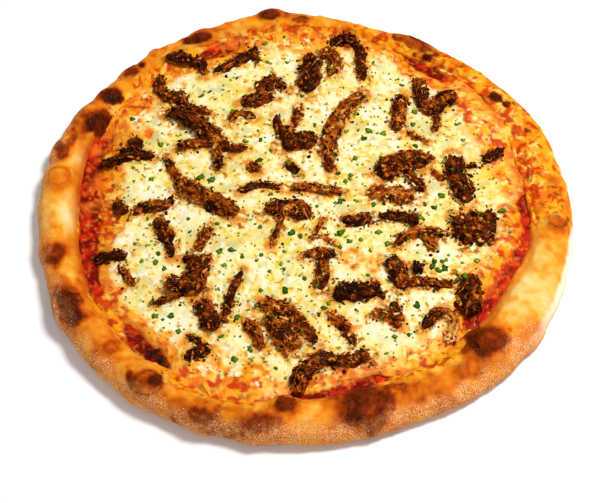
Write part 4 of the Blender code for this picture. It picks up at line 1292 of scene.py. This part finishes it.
def shred_skin(number, layer, shred):
    """Rings of points of one shred, a tone for each, and the two tips that close it. The section is
    an arch about half as high as it is wide, fullest in the middle of the length and smallest at
    the ends. Its feet stand in the cheese. Noise stretched along the length makes the grain."""
    width, length = float(shred[0]), shred_length(shred)
    count = max(LEAST_RINGS, round(length / RING_STEP))
    share = 0.5 - 0.5 * np.cos(np.linspace(0.04, 0.96, count) * math.pi)
    middle, _, sideways = shred_course(shred, share)
    swell, along, own = swell_at(share), share * length, CLUMP_SHIFT * number + SHRED_SHIFT * layer
    beat = np.column_stack([along, np.full(count, own), np.zeros(count)])
    height = np.clip(0.52 * width, *SHRED_HEIGHTS) * (0.35 + 0.65 * swell)
    height = height * (0.88 + 0.16 * noise(beat, 6.0, 101))
    under = np.max([ground(middle + edge * width / 2 * sideways) for edge in (-1, 0, 1)], axis=0)
    base = running_highest(under, round(SEAT_REACH / RING_STEP)) + LAYER_STEP * layer - SHRED_SINK

    arch = np.linspace(0, math.pi, SHRED_SIDES)
    grain, bulk, flanks = (
        np.stack(np.broadcast_arrays(lengthways[:, None], over, own), axis=-1)
        for lengthways, over in (
            (along / GRAIN_LENGTH, arch * width / 2 / GRAIN_WIDTH),
            (along, arch * width / 2),
            (along, -FLANKS_APART * np.cos(arch)),
        )
    )
    creases = -0.65 * (1 - np.abs(noise(grain, 1.0, 102))) ** 4
    chunks = 1.1 * np.abs(noise(bulk, 3.4, 109)) - 0.4
    swelling = creases + chunks + 0.3 * noise(grain, 0.5, 103)
    swelling += 0.8 * layered(bulk, 4.6, 104, 2) + 0.35 * noise(bulk, 1.3, 105)
    swelling *= np.minimum(swell, 0.8)[:, None] * min(1.0, 0.35 + width / 14)
    torn = 1 + 0.42 * noise(flanks, 5.5, 112) + 0.26 * noise(flanks, 2.4, 113)
    across = -np.cos(arch) * (width / 2 * swell[:, None] * torn + swelling)
    up = np.sin(arch) ** 0.6 * (height[:, None] + swelling)
    plan = middle[:, None] + across[..., None] * sideways[:, None]
    feet = np.abs(np.cos(arch)) ** 6
    level = base[:, None] - FEET_SINK * feet + np.maximum(up, -0.2)
    points = np.concatenate([plan, level[..., None]], axis=-1)[:, ::-1]

    grain_tone = 0.26 * noise(grain, 1.0, 106) + 0.44 * noise(bulk, 5.5, 107) + 0.28 * noise(bulk, 1.7, 108)
    fringe = (1 - np.sin(arch)) ** 1.5 * rising(-0.4, 0.4, noise(bulk, 3.0, 110))
    # The creases are painted darker than the rest of the shred: painted shade in the creases.
    uneven = (grain_tone + 0.05 - 0.30 * creases - 0.30 * fringe)[:, ::-1]
    tone = tone_at(points.reshape(-1, 3)[:, :2], TONES[number]) + uneven.ravel()
    ends = smooth_through(np.array(shred[1:], float), np.array((0.0, 1.0)))
    return points, tone, np.column_stack([ends, base[[0, -1]] + 0.2 * height[[0, -1]]])


skins = [(number, *shred_skin(number, layer, shred)) for number, layer, shred in SHREDS]
meat_points = np.concatenate([rings.reshape(-1, 3) for _, rings, _, _ in skins])
print("chicken: up to", meat_points[:, 2].max().round(1), "mm")

# %% The chicken's finish and cores
meat_finish = Finish("jerk_chicken", Coat_Roughness=0.25, Specular_IOR_Level=0.02)
strand, rub = meat_finish.grain(0.7, 4.0), meat_finish.grain(1.8)
# Orange on the strands: the meat's orange inside, and painted highlights on the fibres.
meat_finish.stain((196, 100, 22), (strand - 0.56).between(0.0, 0.12) * 0.4)
meat_finish.stain((22, 10, 5), (0.46 - rub).between(0.0, 0.12) * 0.8)
meat_finish.surface(0.26 + 0.4 * strand, strand + rub, 0.5, coat=(rub - 0.5).between(0.06, 0.14) * 0.30)
# The first piece of meat has the first 26 clumps, and the second has the rest.
HALF = 26
for name, clumps in (("jerk_chicken_back", range(HALF)), ("jerk_chicken_front", range(HALF, len(CHICKEN)))):
    points, tones, quads, triangles, start = [], [], [], [], 0
    for number, rings, tone, tips in skins:
        if number in clumps:
            sides, ends = closed_grid(len(rings), SHRED_SIDES, start)
            points += [rings.reshape(-1, 3), tips]
            tones += [tone, tone[[0, -1]]]
            quads.append(sides)
            triangles.append(ends)
            start += len(tone) + 2
    points, paint = np.concatenate(points), ramp(np.concatenate(tones), MEAT_RAMP)
    faces = np.concatenate(quads), np.concatenate(triangles)
    piece(name, points, faces, paint, meat_finish, "chicken", *(f"chicken_{n + 1:02d}" for n in clumps))

# %% [markdown]
# ## How high everything stands
# Loose things lie on whatever is under them, cheese or meat. A map of heights on a fine square grid
# answers that for any number of places at once: the meat's points are entered in their cells, and
# each cell keeps the highest of itself and its neighbours.

# %% The map of heights
CELL = 0.8
SPAN = 200.0
cells = round(2 * SPAN / CELL)


def map_cell(at):
    """The row and the column of the map in which each place lies."""
    return tuple(np.clip(((at[:, :2] + SPAN) / CELL).astype(int), 0, cells - 1).T)


meat_map = np.zeros((cells, cells))
np.maximum.at(meat_map, map_cell(meat_points), meat_points[:, 2])
meat_map = np.maximum.reduce([np.roll(meat_map, (i, j), (0, 1)) for i in (-1, 0, 1) for j in (-1, 0, 1)])


def top_at(at):
    """The level of the cheese or of the meat at each place, whichever is higher."""
    return np.maximum(cheese_level(at)[0], meat_map[map_cell(at)])


print("cells with meat:", np.count_nonzero(meat_map), "of", meat_map.size)

# %% [markdown]
# ## Loose fibres
# Where the meat was pulled, single fibres stand off the shreds and hang over their sides. Each is a
# thin five-sided strand on a bent line, thickest in the middle. They all go in one piece, because
# they share one form. A piece of loose bits names one of the solids that it lies on.

# %% The fibres
FIBRE_ROWS, FIBRE_SIDES = 6, 5
FIBRES_PER_AREA = 0.021
FIBRE_LENGTHS, FIBRE_RADII = (3, 10), (0.28, 0.6)
draw = np.random.default_rng(11)
gathered = []
for number, layer, shred in SHREDS:
    count = round(FIBRES_PER_AREA * shred_length(shred) * (shred[0] + 3))
    place, ahead, left = shred_course(shred, draw.uniform(0.03, 0.97, count))
    heading = bearing(ahead) + draw.normal(0, 0.42, count)
    place = place + (draw.uniform(-0.5, 0.5, count) * shred[0])[:, None] * left
    gathered.append((place, heading, tone_at(place, TONES[number]) + draw.normal(-0.08, 0.22, count)))
fibre_at, heading, tone = (np.concatenate(part) for part in zip(*gathered))
many = len(fibre_at)
length, thick = draw.uniform(*FIBRE_LENGTHS, many), draw.uniform(*FIBRE_RADII, many)
bend, rise = draw.normal(0, 1.4, many), draw.normal(0.1, 0.8, many)
t = np.linspace(-0.5, 0.5, FIBRE_ROWS)
forward = compass(heading)
aside = leftward(forward)
path = fibre_at[:, None] + (t * length[:, None])[..., None] * forward[:, None]
path += ((4 * t * t - 0.3) * bend[:, None])[..., None] * aside[:, None]
under = top_at(path.reshape(-1, 2)).reshape(many, FIBRE_ROWS)
path_level = 0.45 * under + 0.55 * under.mean(axis=1)[:, None] + 0.15 + (t * rise[:, None]) * 2
path_level = np.maximum(path_level, under - 0.1)
taper = (thick[:, None] * (1 - np.abs(2 * t) ** 3 * 0.85))[..., None]
turn = round_angles(FIBRE_SIDES)
plan = path[:, :, None] + (taper * np.cos(turn))[..., None] * aside[:, None, None]
level = path_level[..., None] + taper * np.sin(turn)
fibres = np.concatenate([plan, level[..., None]], axis=-1).reshape(-1, 3)

# %% The fibres as a piece
block = FIBRE_ROWS * FIBRE_SIDES
caps = np.array([(0, 2, 1), (0, 3, 2), (0, 4, 3), (0, 1, 2), (0, 2, 3), (0, 3, 4)])
caps[3:] += block - FIBRE_SIDES
faces = repeated(grid_quads(FIBRE_ROWS, FIBRE_SIDES), many, block), repeated(caps, many, block)
paint = ramp(np.repeat(tone, block) + 0.1 * noise(fibres, 2.0, 111), MEAT_RAMP)
piece("pulled_fibres", fibres, faces, paint, meat_finish, "chicken", "chicken_01")

# %% [markdown]
# ## Torn lumps
# Meat that is pulled by hand tears into short bundles, so a shred looks lumpy and its sides are
# ragged. Each lump is a small ball stretched roughly along its shred, with every corner moved in or
# out, and it is set a little into what it lies on. A few dozen faces each are enough, because there
# are thousands of them.


# %% The torn lumps
def spindle(rings, sides):
    """A ball as rings of points round the X axis: at angle a from the first pole a ring stands at
    cos a and is sin a in radius. Gives its points, with both poles last, and its faces."""
    slope = (math.pi * np.arange(1, rings + 1) / (rings + 1))[:, None]
    turn = round_angles(sides)
    wall = np.broadcast_arrays(np.cos(slope), np.sin(slope) * np.cos(turn), np.sin(slope) * np.sin(turn))
    points = np.concatenate([np.stack(wall, axis=-1).reshape(-1, 3), [(1, 0, 0), (-1, 0, 0)]])
    return points, closed_grid(rings, sides, flipped=True)


LUMP, LUMP_FACES = spindle(4, 6)
LUMPS_PER_AREA = 0.085
LUMP_SIZES, LUMP_STRETCHES, LUMP_FLATNESS = (0.40, 1.30), (1.1, 2.5), (0.6, 0.9)
gathered = []
for number, layer, shred in SHREDS:
    count = round(LUMPS_PER_AREA * shred_length(shred) * (shred[0] + 2))
    share = draw.uniform(0.0, 1.0, count)
    place, ahead, left = shred_course(shred, share)
    offset = draw.uniform(-0.60, 0.60, count) * (shred[0] + 1) * (0.5 + 0.5 * swell_at(share))
    place = place + offset[:, None] * left
    heading = bearing(ahead) + draw.normal(0, 0.85, count)
    tone = tone_at(place, TONES[number]) + draw.normal(-0.02, 0.30, count)
    gathered.append((place, heading, tone, np.full(count, shred[0])))
lump_at, heading, tone, wide = (np.concatenate(part) for part in zip(*gathered))
size = draw.uniform(*LUMP_SIZES, len(lump_at)) * (0.55 + wide / 24)
longer, lower = draw.uniform(*LUMP_STRETCHES, len(size)), draw.uniform(*LUMP_FLATNESS, len(size))
shape = np.column_stack([size * longer, size, size * lower])
corner = LUMP * draw.uniform(0.62, 1.25, (len(size), len(LUMP), 1)) * shape[:, None]
x, y = turned(corner[..., 0], corner[..., 1], heading[:, None])
seat = np.column_stack([lump_at, top_at(lump_at) - 0.25 * shape[:, 2]])
lumps = (np.stack([x, y, corner[..., 2]], axis=-1) + seat[:, None]).reshape(-1, 3)
faces = tuple(repeated(part, len(size), len(LUMP)) for part in LUMP_FACES)
paint = ramp(np.repeat(tone, len(LUMP)) + 0.25 * noise(lumps, 1.6, 114), MEAT_RAMP)
piece("torn_lumps", lumps, faces, paint, meat_finish, "chicken", "chicken_01")

# %% [markdown]
# ## Crumbs of char and rub
# Bits of black crust and spice fall off the meat and lie on it and round it. Each is a
# twenty-faced solid squashed out of true.

# %% Crumbs and grains
GOLDEN = (1 + 5**0.5) / 2
BALL = np.array([
    (-1, GOLDEN, 0), (1, GOLDEN, 0), (-1, -GOLDEN, 0), (1, -GOLDEN, 0), (0, -1, GOLDEN), (0, 1, GOLDEN),
    (0, -1, -GOLDEN), (0, 1, -GOLDEN), (GOLDEN, 0, -1), (GOLDEN, 0, 1), (-GOLDEN, 0, -1), (-GOLDEN, 0, 1),
]) / math.hypot(1, GOLDEN)
BALL_FACES = np.array([
    (0, 11, 5), (0, 5, 1), (0, 1, 7), (0, 7, 10), (0, 10, 11), (1, 5, 9), (5, 11, 4), (11, 10, 2),
    (10, 7, 6), (7, 1, 8), (3, 9, 4), (3, 4, 2), (3, 2, 6), (3, 6, 8), (3, 8, 9), (4, 9, 5), (2, 4, 11),
    (6, 2, 10), (8, 6, 7), (9, 8, 1),
])


def bits(places, sizes, seed):
    """Points and faces of a squashed twenty-faced solid at each place. Each corner is moved in or
    out, and the three sides of each bit are scaled apart."""
    dice = np.random.default_rng(seed)
    stretch = dice.uniform(0.55, 1.25, (len(places), 1, 3)) * sizes[:, None, None]
    corner = BALL * dice.uniform(0.75, 1.2, (len(places), len(BALL), 1)) * stretch
    x, y = turned(corner[..., 0], corner[..., 1], dice.uniform(0, math.tau, len(places))[:, None])
    points = (np.stack([x, y, corner[..., 2]], axis=-1) + places[:, None]).reshape(-1, 3)
    return points, ((), repeated(BALL_FACES, len(places), len(BALL)))


# %% The crumbs
CRUMBS, CRUMB_SPREAD = 1900, 3.2
at = fibre_at[draw.integers(0, many, CRUMBS)] + draw.normal(0, CRUMB_SPREAD, (CRUMBS, 2))
sizes = draw.uniform(0.3, 1.0, CRUMBS) ** 1.6 * 1.5
on_cheese = np.hypot(*at.T) < cheese_edge(bearing(at)) - 2
at, sizes = at[on_cheese], sizes[on_cheese]
points, faces = bits(np.column_stack([at, top_at(at) + 0.15 * sizes]), sizes, 12)
paint = ramp(np.repeat(draw.uniform(0.25, 0.95, len(at)), len(BALL)), MEAT_RAMP)
piece("char_crumbs", points, faces, paint, meat_finish, "chicken", "chicken_01")

# %% [markdown]
# ## Parsley
# Chopped parsley is scattered over cheese and meat. The larger flakes and the smaller ones are
# listed by place and width, and fine specks are strewn between. Each flake is a thin leaf with an
# uneven edge, a raised middle and a slight wave.

# %% The flakes of parsley
# The larger flakes and the smaller ones: x, y, width.
FLAKES = (
    (-41, 119, 3.4), (60, 128, 4.2), (-67, 104, 5.2), (-61, 107, 3.6), (-45, 87, 3.6), (44, 80, 4.0),
    (36, 64, 4.8), (48, 57, 5.2), (52, 64, 5.0), (62, 61, 4.8), (-36, 60, 4.8), (-25, 60, 4.2),
    (-68, 30, 6.4), (-60, 27, 6.4), (41, 40, 4.4), (59, 36, 4.2), (28, 27, 3.6), (37, 25, 4.0), (33, 20, 4.2),
    (28, 3, 5.0), (39, 3, 3.8), (-56, -11, 4.2), (-27, -15, 3.4), (-46, -33, 5.6), (-40, -38, 4.2),
    (-55, -34, 4.4), (-52, -45, 4.6), (27, -23, 5.2), (33, -30, 4.8), (53, -24, 5.2), (58, -34, 4.4),
    (1, -58, 4.2), (-12, -67, 5.4), (-6, -21, 4.8), (-98, -40, 4.4), (-92, -45, 4.0), (-97, -82, 4.6),
    (-87, -82, 5.0), (-82, -94, 5.0), (-36, -110, 4.8), (-36, -117, 4.6), (-46, -117, 4.6), (-54, -99, 4.2),
    (57, -106, 4.2), (51, -118, 3.6), (73, -83, 5.2), (86, -54, 5.4), (94, -56, 5.2), (82, -14, 4.6),
    (137, -11, 5.6), (98, 4, 5.2), (116, 66, 4.4), (84, 68, 4.2), (-96, 61, 5.4), (-102, 30, 4.2),
    (79, 105, 4.2), (118, 51, 3.6), (116, -51, 4.0),
)
SMALL_FLAKES = (
    (-5, 158, 3), (-20, 152, 4), (8, 151, 2), (-17, 133, 5), (-4, 132, 4), (-20, 141, 2), (-16, 124, 2),
    (28, 122, 5), (-65, 108, 2), (-57, 100, 2.5), (-51, 108, 1.5), (-47, 107, 2), (-41, 107, 1.5),
    (-10, 98, 2), (6, 99, 4), (10, 87, 2.5), (45, 83, 2), (65, 81, 2), (66, 75, 2), (47, 56, 2.5),
    (51, 64, 2.5), (52, 69, 2), (54, 62, 2), (14, 71, 4), (9, 65, 4), (-27, 42, 5), (-18, 50, 3), (-6, 37, 6),
    (1, 27, 3), (29, 47, 2), (27, 42, 3), (42, 34, 2), (41, 23, 2), (36, 22, 3), (26, 19, 2), (-44, 34, 2),
    (-47, 17, 2), (25, 2, 3), (31, 4, 3), (51, -1, 4), (12, 0, 2.5), (20, -6, 2), (24, -1, 1.5), (-44, -1, 3),
    (-48, -13, 3), (-19, 12, 3), (-35, -5, 2), (-34, -9, 1.5), (17, -19, 2), (0, -24, 4), (-8, -22, 2),
    (-5, -20, 2), (-12, -32, 2), (-12, -36, 3), (-27, -38, 3), (-30, -42, 3), (-54, -32, 3), (24, -24, 3),
    (30, -21, 2), (26, -35, 3), (40, -30, 3), (46, -39, 3), (61, -34, 3), (43, -58, 3), (-14, -46, 3),
    (-12, -50, 3), (-22, -51, 3), (-23, -54, 1.5), (-2, -56, 2), (-28, -66, 3), (9, -66, 3), (20, -63, 2.5),
    (24, -63, 2.5), (27, -64, 2.5), (16, -68, 3), (-31, -79, 3), (-44, -86, 5), (-25, -91, 3), (13, -82, 4),
    (16, -79, 3), (2, -72, 2), (5, -76, 2), (-53, -75, 3), (-42, -100, 2), (-35, -123, 2), (-39, -124, 1.5),
    (-20, -125, 3), (-14, -132, 3), (-58, -116, 2), (40, -103, 1.5), (66, -105, 3), (70, -103, 2),
    (72, -102, 2), (-100, -73, 3), (-99, -67, 2), (-107, -69, 1.5), (-114, -71, 2), (-117, -66, 2.5),
    (-107, -38, 4), (-96, -33, 4), (-104, -26, 3), (-112, -24, 3), (-110, -21, 2), (-94, -55, 2.5),
    (-75, -16, 3), (-76, -6, 3), (-102, -9, 3), (-104, -4, 3), (-92, -85, 2.5), (-91, 60, 2), (-115, 41, 3),
    (-107, 40, 2), (-108, 33, 2), (-114, 28, 2.5), (-96, 46, 2), (-85, 53, 2), (-92, 20, 2), (-117, 85, 4),
    (-97, 79, 3), (-106, 82, 2), (-102, 86, 1.5), (77, 111, 2), (86, 79, 5), (94, 69, 2), (103, 65, 2),
    (97, 63, 2), (84, 48, 4), (87, 44, 3), (73, 55, 2.5), (126, 55, 1.5), (102, 32, 4), (104, 35, 3),
    (99, 5, 2), (124, 12, 2), (86, 22, 3), (86, -3, 3), (92, -6, 4), (70, -5, 2), (75, -8, 3), (80, -12, 3),
    (84, -16, 2.5), (135, -12, 2), (139, -10, 2), (103, -20, 2), (141, -29, 3), (89, -41, 2), (98, -45, 3),
    (96, -49, 3), (90, -57, 5), (88, -50, 4), (93, -50, 4), (81, -50, 3), (115, -57, 2), (106, -52, 2),
    (102, -65, 4), (106, -66, 4),
)
PARSLEY_RAMP = (
    (0.00, hue(34, 72, 6)), (0.40, hue(72, 120, 10)), (0.75, hue(120, 156, 20)), (1.00, hue(182, 172, 44)),
)

# %% The leaves
LEAF_SIDES = 10
SPECKS, SPECK_REACH, SPECK_WIDTHS = 950, 140, (0.7, 2.0)
draw = np.random.default_rng(23)
turns, reach = draw.uniform(0, math.tau, SPECKS), draw.uniform(0, 1, SPECKS) ** 0.55
speck_at = (reach * SPECK_REACH)[:, None] * compass(turns)
specks = np.column_stack([speck_at, draw.uniform(*SPECK_WIDTHS, SPECKS)])
leaves = np.concatenate([FLAKES, SMALL_FLAKES, specks])
leaf_at, leaf_size = leaves[:, :2], 0.56 * leaves[:, 2:]
around_leaf = round_angles(LEAF_SIDES) + draw.uniform(0, math.tau, (len(leaves), 1))
stretch = draw.uniform(0.55, 1.0, (len(leaves), 1))
ragged = draw.uniform(0.68, 1.18, (len(leaves), LEAF_SIDES)) * leaf_size
aim = draw.uniform(0, math.tau, (len(leaves), 1))
x, y = turned(ragged * np.cos(around_leaf - aim), stretch * ragged * np.sin(around_leaf - aim), aim)
top = top_at(leaf_at)[:, None]
wave = 0.16 * leaf_size * np.sin(2 * around_leaf + aim)
edge = np.stack([leaf_at[:, :1] + x, leaf_at[:, 1:] + y, top + 0.25 + wave], axis=-1)
crown = np.hstack([leaf_at, top + 0.25 + np.minimum(0.35 * leaf_size, 0.6)])[:, None]
seat = np.hstack([leaf_at, top - 0.15])[:, None]
points = np.concatenate([edge, crown, seat], axis=1).reshape(-1, 3)
ring = np.arange(LEAF_SIDES)
one_leaf = np.concatenate([fan(LEAF_SIDES, ring), fan(LEAF_SIDES + 1, ring, flipped=True)])
leaf_green = draw.normal(0.42, 0.22, (len(leaves), 1)) + draw.normal(0, 0.10, (len(leaves), LEAF_SIDES + 2))
leaf_green = np.clip(leaf_green + 0.25 * (leaf_size < 1.15), 0, 1)
print(len(leaves), "leaves and specks")

# %% The parsley's finish and piece
parsley_finish = Finish("chopped_parsley", Specular_IOR_Level=0.06)
vein = parsley_finish.grain(0.6)
parsley_finish.stain((150, 170, 70), (vein - 0.55).between(0.0, 0.15) * 0.35)
parsley_finish.surface(0.35 + 0.3 * vein, vein, 0.15)
faces = (), repeated(one_leaf, len(leaves), LEAF_SIDES + 2)
paint = ramp(leaf_green.ravel(), PARSLEY_RAMP)
piece("chopped_parsley", points, faces, paint, parsley_finish, "cheese", "cheese")

# %% [markdown]
# ## Grains of semolina
# The peel is dusted with semolina so that the dough slides, and grains of it stay on the outside of
# the rim, most at the front left. They are small solids set into the skin at points of the rim.

# %% The grains
GRAINS, GRAIN_SIZES = 1400, (0.15, 0.45)
draw = np.random.default_rng(31)
likely = floury * rising(0.05, 0.12, rim_share)
places = skin[draw.choice(len(skin), GRAINS, p=likely / likely.sum())] + draw.normal(0, 0.25, (GRAINS, 3))
points, faces = bits(places, draw.uniform(*GRAIN_SIZES, GRAINS), 32)
points[:, 2] = np.maximum(points[:, 2], 0.0)
grain_finish = Finish("semolina", Roughness=0.6)
grain_finish.stain((255, 246, 220), grain_finish.grain(0.5, 2.0) * 0.5)
paint = coated(SAND, (FLOUR, np.repeat(draw.uniform(0, 1, GRAINS), len(BALL))))
piece("semolina_grains", points, faces, paint, grain_finish, "crust", "crust")

# %% [markdown]
# ## The floor and the light
# A plain pale floor and soft light show the food. The main light stands to the right and a
# little behind, so that the left sides of the meat and the front of the rim are shaded. A wider and
# weaker one fills in from the front left, and the rest comes evenly from all round.

# %% The studio
FLOOR_HALF = 4.0
FLOOR_WHITE, WORLD_STRENGTH = 0.93, 0.38
corners = [(x * FLOOR_HALF, y * FLOOR_HALF, 0) for x, y in ((-1, -1), (1, -1), (1, 1), (-1, 1))]
floor_mesh = bpy.data.meshes.new("floor")
floor_mesh.from_pydata(corners, [], [(0, 1, 2, 3)])
floor = bpy.data.objects.new("floor", floor_mesh)
bpy.context.scene.collection.objects.link(floor)
floor_finish = Finish("pale_floor", Roughness=0.8, Base_Color=(FLOOR_WHITE, FLOOR_WHITE, FLOOR_WHITE, 1))
floor_mesh.materials.append(floor_finish.material)


def area_light(name, place, size, power):
    """A square soft light at the place, in metres, that faces the pizza."""
    light = bpy.data.objects.new(name, bpy.data.lights.new(name, "AREA"))
    light.data.size, light.data.energy = size, power
    light.location = place
    light.rotation_euler = (-Vector(place)).to_track_quat("-Z", "Y").to_euler()
    bpy.context.scene.collection.objects.link(light)


area_light("main_light", (0.55, 0.10, 1.20), 0.30, 16.8)
area_light("front_light", (-0.6, -1.2, 1.2), 1.2, 3.0)
world = bpy.data.worlds.new("studio")
world.use_nodes = True
world.node_tree.nodes["Background"].inputs["Color"].default_value = (1, 1, 1, 1)
world.node_tree.nodes["Background"].inputs["Strength"].default_value = WORLD_STRENGTH
bpy.context.scene.world = world
bpy.context.scene.view_settings.view_transform = "Standard"
